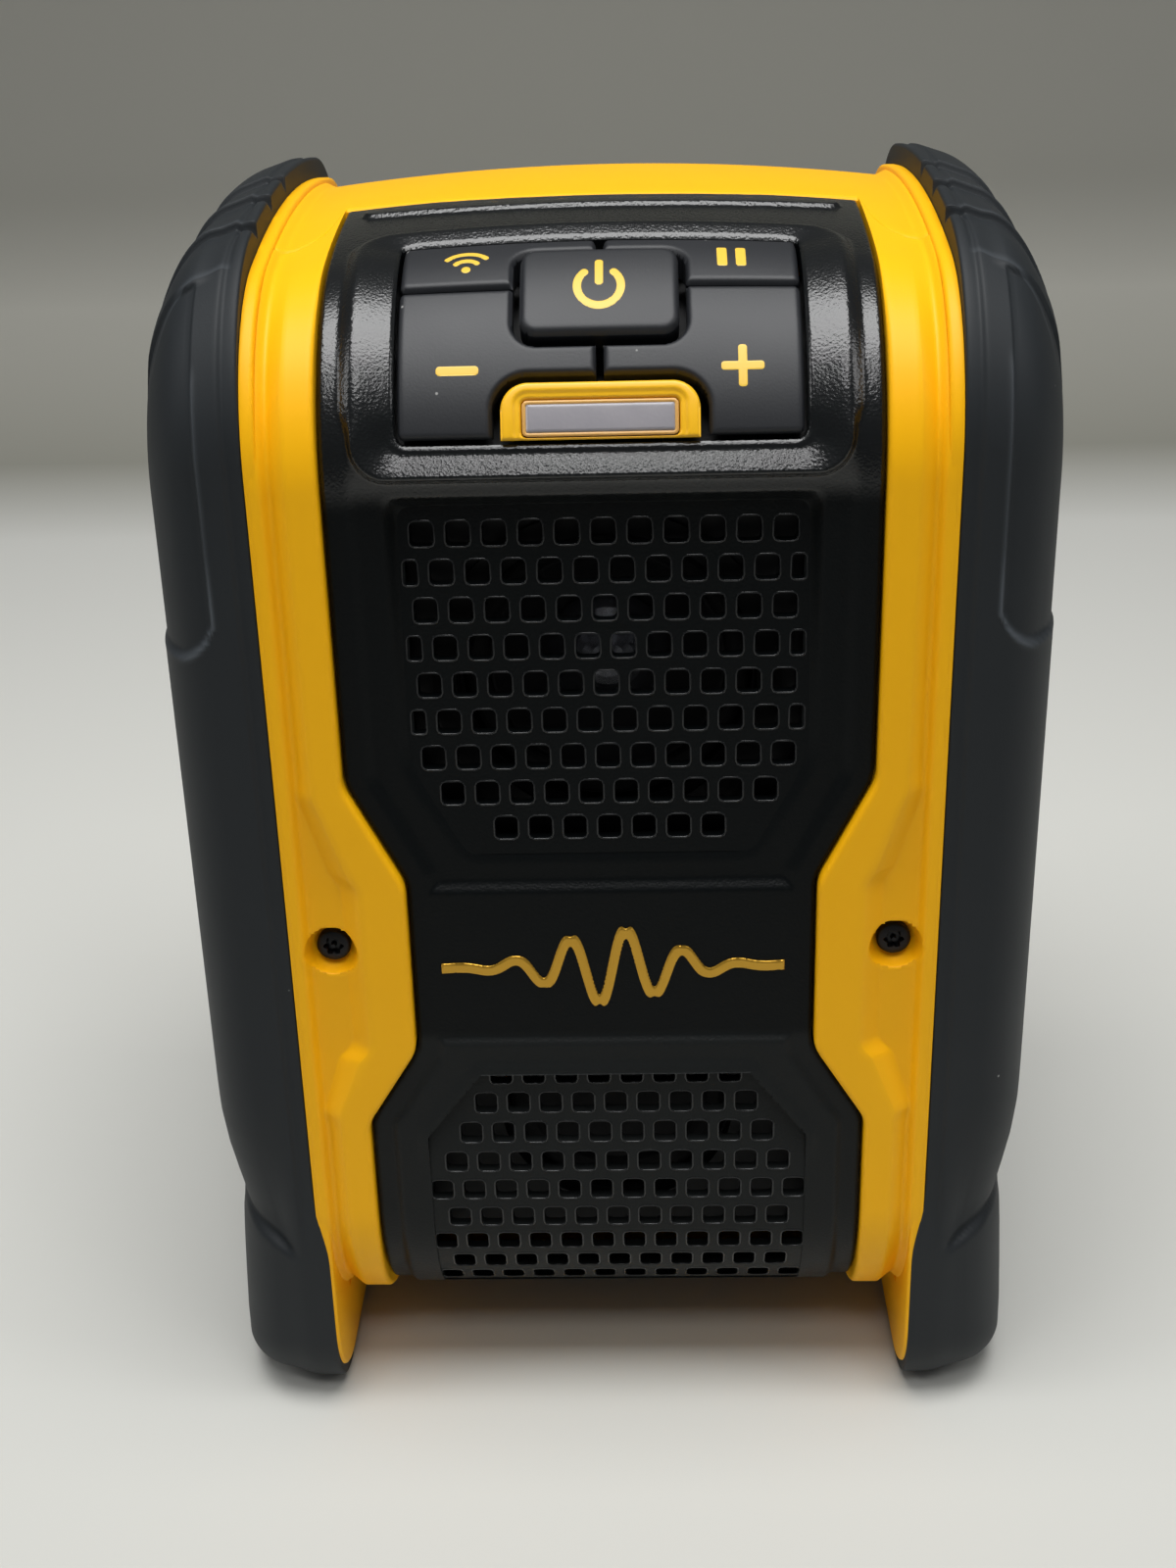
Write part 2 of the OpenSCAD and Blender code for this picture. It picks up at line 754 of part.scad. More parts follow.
// A key from its outline: cap, retaining flange and stem
module key(rise, stem) {
    at_keys() {
        intersection() {
            translate([0, 0, n_key_floor]) linear_extrude(20) children(0);
            key_drum(-rise);
        }
        translate([0, 0, n_key_floor - n_flange]) linear_extrude(n_flange + eps) children(1);
        translate([stem[0], stem[1], n_stem]) cylinder(r = 2, h = n_key_floor - n_stem);
    }
}

// Outline of an upper key on the right side, taken outwards by o
module upper_key_outline(o) {
    difference() {
        translate([key_gap - o, key_split + key_gap / 2 - o])
            square([key_half - key_gap + 2 * o, key_ends[1] - key_split - key_gap / 2 + 2 * o]);
        power_outline(2 * key_gap - o);
    }
}

// Outline of a volume key on the right side, taken outwards by o
module volume_key_outline(o) {
    difference() {
        translate([key_gap - o, key_ends[0] - o])
            square([key_half - key_gap + 2 * o, key_split - key_gap / 2 - key_ends[0] + 2 * o]);
        power_outline(2 * key_gap - o);
        lamp_outline(key_gap - o);
    }
}

upper_stem = [19, 10.4];
volume_stem = [19.5, -5];
power_stem = [0, power_mid];
flange_over = 0.9;

module play_key() {
    color([0.25, 0.26, 0.28]) key(0, upper_stem) {
        upper_key_outline(0);
        intersection() {
            upper_key_outline(0);
            translate([15, key_split + 0.6]) square([key_half - 15, key_ends[1] - key_split - 0.6]);
        }
    }
}

module pairing_key() {
    mirror([1, 0, 0]) play_key();
}

module volume_up_key() {
    color([0.25, 0.26, 0.28]) key(0, volume_stem) {
        volume_key_outline(0);
        translate([15.5, key_ends[0] + 0.4]) square([key_half - 15.5 + flange_over, 18]);
    }
}

module volume_down_key() {
    mirror([1, 0, 0]) volume_up_key();
}

module power_key() {
    color([0.25, 0.26, 0.28]) key(-power_rise * -1, power_stem) {
        power_outline(0);
        power_outline(-0.6);
    }
}

module lamp_frame() {
    color([0.94, 0.78, 0.2])
        difference() {
            at_keys() intersection() {
                translate([0, 0, n_key_floor - 0.8]) linear_extrude(20) lamp_outline(0);
                key_drum(-0.8);
            }
            at_keys() lens_cut(0);
            at_keys() translate([0, 0, n_key_floor - 3]) linear_extrude(4)
                translate([0, key_ends[0] + lamp_size[1] / 2]) rounded([lens_size[0] - 2, lens_size[1] - 1], 1);
        }
}

module lens_cut(o) {
    translate([0, 0, n_key_floor + 0.6]) linear_extrude(20)
        translate([0, key_ends[0] + lamp_size[1] / 2 - 0.6]) rounded([lens_size[0] - o, lens_size[1] - o], 1.2);
}

module lamp_lens() {
    color([0.72, 0.71, 0.74])
        at_keys() intersection() {
            lens_cut(0.2);
            key_drum(-0.5);
        }
}

module key_guide() {
    color([0.12, 0.12, 0.13])
        at_keys() difference() {
            translate([0, 0, n_guide - guide_t]) linear_extrude(guide_t) rounded(guide_size, 2);
            for (s = [upper_stem, volume_stem]) {
                pair() translate([s[0], s[1], 0]) cylinder(r = 2.3, h = far);
            }
            translate([power_stem[0], power_stem[1], 0]) cylinder(r = 2.3, h = far);
            translate([0, key_ends[0] + lamp_size[1] / 2 - 0.6, 0])
                linear_extrude(far) rounded([lens_size[0] - 4, 2.6], 1);
            pair() for (t = [-guide_screw[1], guide_screw[1]]) {
                translate([guide_screw[0], t, 0]) cylinder(r = 1, h = far);
            }
        }
}

module guide_screws() {
    color([0.6, 0.6, 0.62])
        at_keys() pair() for (t = [-guide_screw[1], guide_screw[1]]) {
            translate([guide_screw[0], t, n_guide - guide_t - 1.2]) {
                difference() {
                    cylinder(r = 1.7, h = 1.2);
                    cylinder(r = 0.8, h = 1.4, center = true, $fn = 6);
                }
                cylinder(r = 0.9, h = 1.2 + guide_t);
            }
        }
}

module control_board() {
    color([0.1, 0.3, 0.18])
        at_keys() difference() {
            union() {
                translate([-27, -12.5, n_board - board_t]) cube([54, 26, board_t]);
                for (x = [-24, 24]) {
                    translate([x, 3, n_board - eps]) cylinder(r = 1.8, h = n_guide - guide_t - n_board + eps);
                }
            }
            translate([18, 14, 0]) cylinder(r = 1, h = far);
        }
}

module tact_switches() {
    color([0.2, 0.2, 0.2])
        at_keys() {
            for (s = [upper_stem, volume_stem, power_stem]) {
                for (m = s[0] == 0 ? [1] : [-1, 1]) {
                    translate([m * s[0], s[1], n_board]) {
                        translate([-2.2, -2.2, 0]) cube([4.4, 4.4, 2.4]);
                        cylinder(r = 1.3, h = 3.4);
                    }
                }
            }
        }
}

module status_light() {
    color([0.9, 0.9, 0.95])
        at_keys() translate([0, key_ends[0] + lamp_size[1] / 2 - 0.6, n_board]) {
            translate([-3, -1, 0]) cube([6, 2, 2]);
            translate([-2, -0.8, 0]) cube([4, 1.6, 2.6]);
        }
}

module baffle() {
    color([0.1, 0.1, 0.11])
        difference() {
            along_y(baffle_y, baffle_back)
                difference() {
                    translate([-baffle_half, baffle_ends[0]])
                        square([2 * baffle_half, baffle_ends[1] - baffle_ends[0]]);
                    translate([0, drive_z]) circle(r = driver_r - 3.5, $fn = 80);
                    translate([0, radiator_z]) circle(r = radiator_r - 3.5, $fn = 80);
                    for (z = baffle_fix) {
                        pair() translate([panel_half - 3.4, z]) circle(r = shank_r - 0.3);
                    }
                }
            for (a = [45 : 90 : 315]) {
                at_driver() rotate([0, 0, a]) translate([driver_fix_r, 0, -2.4]) cylinder(r = 0.8, h = 4);
                at_radiator() rotate([0, 0, a]) translate([radiator_r - 1.9, 0, -2.4]) cylinder(r = 0.8, h = 4);
            }
        }
}

module baffle_seal() {
    color([0.2, 0.2, 0.2])
        at_driver() translate([0, 0, -baffle_t - 1]) ring(driver_r - 3.4, driver_r, 1);
}

module baffle_screws() {
    color([0.6, 0.6, 0.62])
        for (z = baffle_fix) {
            pair() translate([panel_half - 3.4, baffle_back, z]) rotate([-90, 0, 0]) {
                difference() {
                    cylinder(r = 2.2, h = 1.4);
                    translate([0, 0, 0.6]) cylinder(r = 1, h = 2, $fn = 6);
                }
                translate([0, 0, -4.4]) cylinder(r = 1.05, h = 4.5);
            }
        }
}

// Local Z runs back from the rear face of the baffle
module at_driver() {
    translate([0, baffle_back, drive_z]) rotate([-90, 0, 0]) children();
}

module at_radiator() {
    translate([0, baffle_back, radiator_z]) rotate([-90, 0, 0]) children();
}

module ring(r0, r1, h) {
    difference() {
        cylinder(r = r1, h = h, $fn = 80);
        translate([0, 0, -1]) cylinder(r = r0, h = h + 2, $fn = 80);
    }
}

module driver_gasket() {
    color([0.15, 0.15, 0.15]) at_driver() difference() {
        ring(driver_r - 3.4, driver_r, 0.8);
        driver_holes();
    }
}

module driver_holes() {
    for (a = [45 : 90 : 315]) {
        rotate([0, 0, a]) translate([driver_fix_r, 0, -1]) cylinder(r = 0.9, h = 6);
    }
}

module driver_basket() {
    color([0.3, 0.3, 0.32])
        at_driver() difference() {
            rotate_extrude($fn = 80)
                polygon([
                    [driver_r - 3.8, 0.8], [driver_r, 0.8], [driver_r, 2.6], [driver_r - 3, 2.6],
                    [driver_r - 3, 5.6], [15.8, 14], [15.8, 16], [10, 16], [10, 14.6], [14.6, 14.6],
                    [driver_r - 3.8, 5.2]
                ]);
            driver_holes();
            for (a = [0 : 90 : 270]) {
                rotate([0, 0, a]) translate([10, -6, 6]) cube([20, 12, 6]);
            }
        }
}

module driver_plate() {
    color([0.55, 0.56, 0.58]) at_driver() translate([0, 0, 16]) ring(8.3, 15.5, 3);
}

module driver_magnet() {
    color([0.22, 0.22, 0.23]) at_driver() translate([0, 0, 19]) ring(10, 17, 8);
}

module driver_yoke() {
    color([0.55, 0.56, 0.58])
        at_driver() {
            translate([0, 0, 27]) cylinder(r = 16, h = 3, $fn = 80);
            translate([0, 0, 16.2]) cylinder(r = 7.1, h = 11.5, $fn = 60);
        }
}

module driver_spider() {
    color([0.75, 0.6, 0.3])
        at_driver() rotate_extrude($fn = 80)
            polygon([
                [8.5, 13.2], [9.8, 12.6], [11, 13.2], [12.2, 12.6], [14.4, 13.6], [14.4, 14.4], [12.2, 13.2],
                [11, 13.8], [9.8, 13.2], [8.5, 13.8]
            ]);
}

module voice_coil() {
    color([0.72, 0.42, 0.2]) at_driver() translate([0, 0, 9.4]) ring(7.45, 7.95, 12);
}

module driver_cone() {
    color([0.13, 0.13, 0.14])
        at_driver() rotate_extrude($fn = 80)
            polygon([[7.95, 10.2], [7.95, 9.4], [16.4, 2.6], [16.8, 2.6], [16.8, 3.3]]);
}

module dust_cap() {
    color([0.5, 0.5, 0.53])
        at_driver() rotate_extrude($fn = 80)
            polygon(concat(
                [for (k = [0 : 8]) let (a = 58 * k / 8) [10.4 * sin(a), 13.6 - 10.4 * cos(a)]],
                [for (k = [8 : -1 : 0]) let (a = 58 * k / 8) [9.8 * sin(a), 13.6 - 9.8 * cos(a)]]));
}

module driver_surround() {
    color([0.1, 0.1, 0.1]) at_driver() roll(16.8, driver_r - 4.2, 2.6);
}

// Half-roll ring between two radii
module roll(r0, r1, z) {
    c = (r0 + r1) / 2;
    w = (r1 - r0) / 2;
    rotate_extrude($fn = 80)
        polygon(concat(
            arc([c, z], w, 180, 360, 8),
            arc([c, z], w - 0.5, 360, 180, 8)));
}

module driver_screws() {
    color([0.6, 0.6, 0.62])
        at_driver() for (a = [45 : 90 : 315]) {
            rotate([0, 0, a]) translate([driver_fix_r, 0, 0]) {
                difference() {
                    translate([0, 0, 2.6]) cylinder(r = 1.3, h = 1.2);
                    translate([0, 0, 3.2]) cylinder(r = 0.7, h = 2, $fn = 6);
                }
                translate([0, 0, -2]) cylinder(r = 0.8, h = 4.7);
            }
        }
}

module radiator_frame() {
    color([0.2, 0.2, 0.21])
        at_radiator() difference() {
            ring(radiator_r - 3.8, radiator_r, 3);
            radiator_holes();
        }
}

module radiator_holes() {
    for (a = [45 : 90 : 315]) {
        rotate([0, 0, a]) translate([radiator_r - 1.9, 0, -1]) cylinder(r = 1, h = 6);
    }
}

module radiator_surround() {
    color([0.1, 0.1, 0.1]) at_radiator() roll(12.6, radiator_r - 4.2, 2.2);
}

module radiator_cone() {
    color([0.14, 0.14, 0.15]) at_radiator() translate([0, 0, 1.2]) cylinder(r = 12.6, h = 1.6, $fn = 80);
}

module radiator_weight() {
    color([0.55, 0.56, 0.58]) at_radiator() translate([0, 0, 2.8]) cylinder(r = 7, h = 4, $fn = 60);
}

module radiator_screws() {
    color([0.6, 0.6, 0.62])
        at_radiator() for (a = [45 : 90 : 315]) {
            rotate([0, 0, a]) translate([radiator_r - 1.9, 0, 0]) {
                difference() {
                    translate([0, 0, 3]) cylinder(r = 1.6, h = 1.2);
                    translate([0, 0, 3.6]) cylinder(r = 0.8, h = 2, $fn = 6);
                }
                translate([0, 0, -2]) cylinder(r = 0.8, h = 5.1);
            }
        }
}

module main_board() {
    color([0.1, 0.3, 0.18])
        difference() {
            translate([-31, board_y, board_ends[0]]) cube([62, board_t, board_ends[1] - board_ends[0]]);
            for (x = [-26, 26]) {
                for (z = board_fix) {
                    translate([x, board_y + far, z]) rotate([90, 0, 0]) cylinder(r = 1.3, h = 2 * far);
                }
            }
        }
}

module board_screws() {
    color([0.6, 0.6, 0.62])
        for (x = [-26, 26]) {
            for (z = board_fix) {
                translate([x, board_y, z]) rotate([90, 0, 0]) {
                    difference() {
                        cylinder(r = 2.2, h = 1.5);
                        translate([0, 0, 0.7]) cylinder(r = 0.9, h = 2, $fn = 6);
                    }
                    translate([0, 0, -5]) cylinder(r = 1, h = 5.2);
                }
            }
        }
}

module capacitors() {
    color([0.12, 0.14, 0.3])
        for (x = [-20, -8, 4]) {
            translate([x, board_y, board_fix[1] - 10]) rotate([90, 0, 0]) {
                cylinder(r = 4.5, h = 11);
                translate([0, 0, 10.9]) cylinder(r = 3.9, h = 0.6);
            }
        }
}

module heat_sink() {
    color([0.7, 0.7, 0.72])
        translate([4, board_y, 64 + lift / 2]) {
            translate([0, -2, 0]) cube([22, 2, 30]);
            for (k = [0 : 5]) {
                translate([k * 4.1, -10, 0]) cube([1.5, 8.1, 30]);
            }
        }
}

module battery_dock() {
    color([0.09, 0.095, 0.1])
        difference() {
            union() {
                translate([-35, back_y, dock_z]) cube([70, 2.4, dock_len + 8]);
                pair() {
                    translate([dock_gap / 2, back_y + 2.3, dock_z]) cube([4, 7, dock_len]);
                    translate([dock_gap / 2 - 4, back_y + 7.3, dock_z]) cube([5, 2, dock_len]);
                }
                translate([-dock_gap / 2, back_y + 2.3, dock_z]) cube([dock_gap, 7, 5]);
            }
            translate([-19, back_y - 1, dock_z + 12]) cube([38, 6, 12]);
            translate([-8, back_y - 1, dock_z + dock_len - 8]) cube([16, 6, 7]);
            dock_holes(1.5);
        }
}

module dock_holes(r) {
    for (x = [-dock_fix_x, dock_fix_x]) {
        for (z = [dock_z + 8, dock_z + dock_len]) {
            translate([x, back_y + 4, z]) rotate([90, 0, 0]) cylinder(r = r, h = 8);
        }
    }
}

module dock_screws() {
    color([0.2, 0.2, 0.21])
        for (x = [-dock_fix_x, dock_fix_x]) {
            for (z = [dock_z + 8, dock_z + dock_len]) {
                translate([x, back_y + 2.4, z]) rotate([-90, 0, 0]) {
                    difference() {
                        cylinder(r = 2.1, h = 1.4);
                        translate([0, 0, 0.6]) cylinder(r = 1, h = 2, $fn = 6);
                    }
                    translate([0, 0, -3.9]) cylinder(r = 1, h = 4);
                }
            }
        }
}

module terminal_block() {
    color([0.12, 0.12, 0.13])
        difference() {
            translate([-18.6, board_y + board_t, dock_z + 12.4]) cube([37.2, back_y + 5 - board_y - board_t, 11.2]);
            for (k = [-2 : 2]) {
                translate([k * 7 - 0.4, board_y + board_t - 1, dock_z + 15.6]) cube([0.8, far, 5]);
            }
        }
}

module terminal_blades() {
    color([0.85, 0.7, 0.3])
        for (k = [-2 : 2]) {
            translate([k * 7 - 0.4, board_y + board_t, dock_z + 15.6])
                cube([0.8, back_y + 7 - board_y - board_t, 5]);
            translate([k * 7 - 0.4, back_y + 5, dock_z + 15.6]) cube([0.8, 2, 12]);
        }
}

module star_screw(len) {
    difference() {
        cylinder(r = head_r, h = 2);
        translate([0, 0, 0.9]) linear_extrude(2) {
            for (a = [0, 60, 120]) {
                rotate(a) square([0.9, 3], center = true);
            }
        }
    }
    translate([0, 0, -len]) cylinder(r = shank_r - 0.3, h = len + 0.1);
}

module front_screws() {
    color([0.1, 0.1, 0.11])
        pair() translate([screw_x, y0 + bore_in, waist_fix]) rotate([90, 0, 0]) star_screw(16);
}

module rear_screws() {
    color([0.1, 0.1, 0.11])
        for (p = rear_posts) {
            pair() translate([p[0], back_y - 11, p[1]]) rotate([-90, 0, 0]) star_screw(32);
        }
}

// A lead through a list of points
module lead(points, r) {
    for (k = [0 : len(points) - 2]) {
        v = points[k + 1] - points[k];
        translate(points[k])
            rotate([0, acos(v[2] / norm(v)), atan2(v[1], v[0])]) cylinder(r = r, h = norm(v), $fn = 16);
        translate(points[k + 1]) sphere(r = r * 1.06, $fn = 16);
    }
}

module driver_leads() {
    color([0.6, 0.1, 0.1])
        for (x = [-3, 3]) {
            lead([
                [x * 4, baffle_back + 13, drive_z + 19], [x * 4, baffle_back + 20, drive_z + 24],
                [x * 3, baffle_back + 36, drive_z + 22], [x * 2.4, board_y - 3, drive_z + 6],
                [x * 2.4, board_y - 0.97, drive_z + 6]
            ], 0.9);
        }
}

module board_cable() {
    yk = key_y;
    cable_z = board_ends[1] - 3.8;
    color([0.85, 0.85, 0.85])
        along_x(-24, -12)
            polygon([
                [yk + 1, key_z + 4.6], [yk + 22, key_z - 4], [board_y - 3, drive_z + 10], [board_y - 3, cable_z + 0.8],
                [board_y, cable_z + 0.8], [board_y, cable_z], [board_y - 3.8, cable_z], [board_y - 3.8, drive_z + 9.6],
                [yk + 21.6, key_z - 4.8], [yk + 0.6, key_z + 3.9]
            ]);
}

front_frame();
rear_housing();
left_bumper();
right_bumper();
front_panel();
pairing_key();
play_key();
power_key();
volume_down_key();
volume_up_key();
lamp_frame();
lamp_lens();
key_guide();
control_board();
tact_switches();
status_light();
guide_screws();
baffle();
baffle_seal();
baffle_screws();
driver_gasket();
driver_basket();
driver_plate();
driver_magnet();
driver_yoke();
driver_spider();
voice_coil();
driver_cone();
dust_cap();
driver_surround();
driver_screws();
radiator_frame();
radiator_surround();
radiator_cone();
radiator_weight();
radiator_screws();
main_board();
capacitors();
heat_sink();
board_screws();
battery_dock();
terminal_block();
terminal_blades();
dock_screws();
front_screws();
rear_screws();
driver_leads();
board_cable();
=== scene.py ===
"""Cordless wireless speaker: moulded shells, grilles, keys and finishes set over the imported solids.

Lengths inside this script are millimetres in the CAD frame: X to the right, Z up, front towards -Y.
"""
import json
import math

import bpy
import numpy as np
from mathutils import Matrix, Vector


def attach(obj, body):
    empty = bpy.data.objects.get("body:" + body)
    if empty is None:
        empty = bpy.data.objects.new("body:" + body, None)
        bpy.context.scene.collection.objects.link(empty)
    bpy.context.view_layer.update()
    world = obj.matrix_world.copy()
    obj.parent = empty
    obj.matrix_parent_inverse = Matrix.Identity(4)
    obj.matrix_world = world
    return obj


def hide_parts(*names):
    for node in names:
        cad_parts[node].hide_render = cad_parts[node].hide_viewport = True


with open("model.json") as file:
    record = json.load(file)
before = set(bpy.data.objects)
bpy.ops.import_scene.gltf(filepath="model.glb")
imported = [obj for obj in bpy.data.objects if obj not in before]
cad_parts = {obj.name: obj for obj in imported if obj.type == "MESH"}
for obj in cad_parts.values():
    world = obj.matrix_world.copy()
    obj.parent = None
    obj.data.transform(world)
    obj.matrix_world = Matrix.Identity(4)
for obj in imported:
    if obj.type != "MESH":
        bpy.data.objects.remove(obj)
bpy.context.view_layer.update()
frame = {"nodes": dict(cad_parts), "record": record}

MM = 0.001

# Sizes shared with the solids
RAIL_Y = -52.0
LIP_Y = -53.0
REAR_Y = 53.0
BACK_Y = 41.0
BELLY_Z = 12.5
SHOULDER_R = 26.0
KEY_Y = RAIL_Y + SHOULDER_R
ROOF_R = 185.0
ROOF_TOP = 182.6
CHEEK_TOP = 184.4
CHEEK_IN = 45.0
CHEEK_OUT = 47.0
CREST_Y = 9.0
REAR_R = 18.0
REAR_FOOT_R = 10.0
FRONT_LOW = BELLY_Z + SHOULDER_R
OUTER_X = 63.0
DEPTH_HALF = 53.3
EAR_TOP = 187.9


def meet_roof(y, r, top, roof_r):
    """Height of the centre of an arc of radius r at depth y that runs smoothly into the roof arc, and the angle
    where they meet: the two centres lie roof_r - r apart."""
    z = top - roof_r + math.sqrt((roof_r - r) ** 2 - (y - CREST_Y) ** 2)
    return z, math.atan2(z - top + roof_r, y - CREST_Y)


# Arc lengths along the casing line, from the foot of the flat front upwards
KEY_Z, A_ROOF = meet_roof(KEY_Y, SHOULDER_R, ROOF_TOP, ROOF_R)
REAR_C_Z, A_REAR = meet_roof(BACK_Y - REAR_R, REAR_R, ROOF_TOP, ROOF_R)
S_FRONT = KEY_Z - FRONT_LOW
S_SHOULDER = S_FRONT + SHOULDER_R * (math.pi - A_ROOF)
S_ROOF = S_SHOULDER + ROOF_R * (A_ROOF - A_REAR)
S_REAR = S_ROOF + REAR_R * A_REAR
S_BACK = S_REAR + REAR_C_Z - BELLY_Z - REAR_FOOT_R
S_HEEL = S_BACK + REAR_FOOT_R * math.pi / 2
S_SOLE = S_HEEL + BACK_Y - REAR_FOOT_R - KEY_Y
S_TOE = -SHOULDER_R * math.pi / 2

# The roof is highest along the middle: rise, start and run on the shoulder, run on the rear shoulder
ROOF_CROWN = 2.8
CROWN_FROM = 14
CROWN_RUN = (30, 26)

# Panel outline
PANEL_HALF = 37.0
WAIST_HALF = 29.2
WAIST_Z = (110.4, 94.9, 67.4, 54.9)
PANEL_BOTTOM = 16.0
PANEL_FIT = 0.3
PANEL_TOP_Y = -6.4
PANEL_TOP_BOW = -2.2
PANEL_TOP_FIT = 0.9
WAIST_SOFT = 1.3

# Grille fields
HOLE_PITCH = 4.9
HOLE_W = 3.2
HOLE_H = 3.4
HOLE_R = 0.65
UPPER_ROWS = (11, 12, 11, 12, 11, 12, 11, 10, 7)
UPPER_Z = 145.8
UPPER_PITCH = 5.36
UPPER_HALF = 27.3
UPPER_ENDS = (149.3, 99.8)
UPPER_CUT = (113.0, 19.6)
UPPER_FLOOR = (3.4, 1.3)
LOWER_ROWS = (8, 9, 10, 11, 12, 11, 12, 11, 12)
LOWER_PITCH = 5.08
LOWER_Z = 57.6 + LOWER_PITCH
LOWER_HALF = 28.9
LOWER_TOP = (63.7, 20.2)
LOWER_CUT = 52.5
LOWER_FLOOR = (0.5, -0.3)
LOWER_FOOT = PANEL_BOTTOM + 2.6
GRILLE_MARGIN = 0.9

# Controls, distances along the slope of the keys
KEY_HALF = 26.5
KEY_TILT = math.radians(48)
KEY_GAP = 0.5
KEY_ENDS = (-14.6, 14.6)
KEY_SPLIT = 5.7
POWER_SIZE = (21.0, 13.2)
POWER_MID = 4.7
LAMP_SIZE = (26.0, 6.6)
LENS_SIZE = (20.4, 4.0)
SCREW_X = 41.0
SCREW_Z = 83.8


def ease(t):
    """Smooth step: 0 below 0, 1 above 1, 3t2 - 2t3 between."""
    t = np.clip(t, 0.0, 1.0)
    return t * t * (3 - 2 * t)


def facet(t):
    """Straight ramp from 0 to 1 with slightly eased ends."""
    return 0.7 * np.clip(t, 0.0, 1.0) + 0.3 * ease(t)


def round_over(d, r):
    """Drop of a quarter-round edge of radius r at distance d inside the edge."""
    t = np.clip(1 - d / r, 0.0, 1.0)
    return r * (1 - np.sqrt(1 - t * t))


def between(pair, t):
    """Value a share t of the way from the first of a pair to the second."""
    return pair[0] + (pair[1] - pair[0]) * t


def casing_line(s):
    """Casing line in the Y-Z plane by arc length s: toe arc, flat front, shoulder arc, roof arc, rear shoulder,
    back, heel arc, underside. Gives y, z and the outward normal."""
    s = np.asarray(s, float)
    spans = [s < S_TOE, s < 0, s < S_FRONT, s < S_SHOULDER, s < S_ROOF, s < S_REAR, s < S_BACK, s < S_HEEL]
    down = -math.pi / 2
    angle = np.select(spans, [down, math.pi - s / SHOULDER_R, math.pi, math.pi - (s - S_FRONT) / SHOULDER_R,
                              A_ROOF - (s - S_SHOULDER) / ROOF_R, A_REAR - (s - S_ROOF) / REAR_R, 0.0,
                              -(s - S_BACK) / REAR_FOOT_R], down)
    ny, nz = np.cos(angle), np.sin(angle)
    y = np.select(spans, [KEY_Y + S_TOE - s, KEY_Y + SHOULDER_R * ny, RAIL_Y, KEY_Y + SHOULDER_R * ny,
                          CREST_Y + ROOF_R * ny, BACK_Y - REAR_R + REAR_R * ny, BACK_Y,
                          BACK_Y - REAR_FOOT_R + REAR_FOOT_R * ny], BACK_Y - REAR_FOOT_R - (s - S_HEEL))
    z = np.select(spans, [BELLY_Z, FRONT_LOW + SHOULDER_R * nz, FRONT_LOW + s, KEY_Z + SHOULDER_R * nz,
                          ROOF_TOP - ROOF_R + ROOF_R * nz, REAR_C_Z + REAR_R * nz, REAR_C_Z - (s - S_REAR),
                          BELLY_Z + REAR_FOOT_R + REAR_FOOT_R * nz], BELLY_Z)
    return y, z, ny, nz


def crown(x, s):
    """Rise of the roof: a parabola across X that fades in over the shoulder and out over the rear shoulder."""
    along = ease((s - S_FRONT - CROWN_FROM) / CROWN_RUN[0]) * (1 - ease((s - S_ROOF) / CROWN_RUN[1]))
    return ROOF_CROWN * (1 - (np.minimum(np.abs(x), CHEEK_IN) / CHEEK_IN) ** 2) * along


def on_casing(x, s, h):
    """Point at side position x, arc length s and height h along the casing normal."""
    y, z, ny, nz = casing_line(s)
    return np.stack(np.broadcast_arrays(x, y + ny * h, z + nz * h + crown(x, s)), -1)


def arc_of_y(y):
    """Arc length on the roof for depth y."""
    return S_SHOULDER + ROOF_R * (A_ROOF - np.arccos((y - CREST_Y) / ROOF_R))


def arc_of_z(z):
    """Arc length on the front for height z, also on the toe arc."""
    z = np.asarray(z, float)
    toe = -SHOULDER_R * np.arcsin(np.clip((FRONT_LOW - z) / SHOULDER_R, 0, 1))
    return np.where(z >= FRONT_LOW, z - FRONT_LOW, toe)


def panel_edge(s):
    """Half width of the panel at arc length s: straight, waist slopes and waist, with softened corners."""
    z = np.asarray(s, float) + FRONT_LOW
    nodes_z = (-100.0, *WAIST_Z[::-1], 400.0)
    nodes_x = (PANEL_HALF, PANEL_HALF, WAIST_HALF, WAIST_HALF, PANEL_HALF, PANEL_HALF)
    shifts = np.linspace(-WAIST_SOFT, WAIST_SOFT, 9)
    return np.mean([np.interp(z + k, nodes_z, nodes_x) for k in shifts], 0)


def edge_lean(s):
    """Cosine of the lean of the panel edge, which turns a side distance into a square one."""
    slope = panel_edge(s + 0.5) - panel_edge(s - 0.5)
    return 1 / np.sqrt(1 + slope * slope)


def panel_top(x):
    """Arc length of the bowed upper end of the panel."""
    return arc_of_y(PANEL_TOP_Y + PANEL_TOP_BOW * (1 - (x / PANEL_HALF) ** 2) - PANEL_TOP_FIT)


def edge_distances(x, z, corners):
    """Distance inside each edge of a convex outline given by its corners, counter-clockwise."""
    c = np.asarray(corners, float)
    pairs = zip(c, np.roll(c, -1, 0) - c)
    return [(e[0] * (z - a[1]) - e[1] * (x - a[0])) / math.hypot(*e) for a, e in pairs]


def convex_inside(x, z, corners):
    """Distance inside a convex outline: the least distance inside its edges."""
    return np.minimum.reduce(edge_distances(x, z, corners))


def soft_inside(x, z, corners, soft):
    """Like convex_inside, with the corners rounded by a soft minimum over the edges."""
    return -soft * np.log(sum(np.exp(-np.clip(d, -30, 60) / soft) for d in edge_distances(x, z, corners)))


def upper_floor(z):
    """Depth of the sloped upper grille at height z, straight between its two ends."""
    return UPPER_FLOOR[1] + (UPPER_FLOOR[0] - UPPER_FLOOR[1]) * (z - UPPER_ENDS[1]) / (UPPER_ENDS[0] - UPPER_ENDS[1])


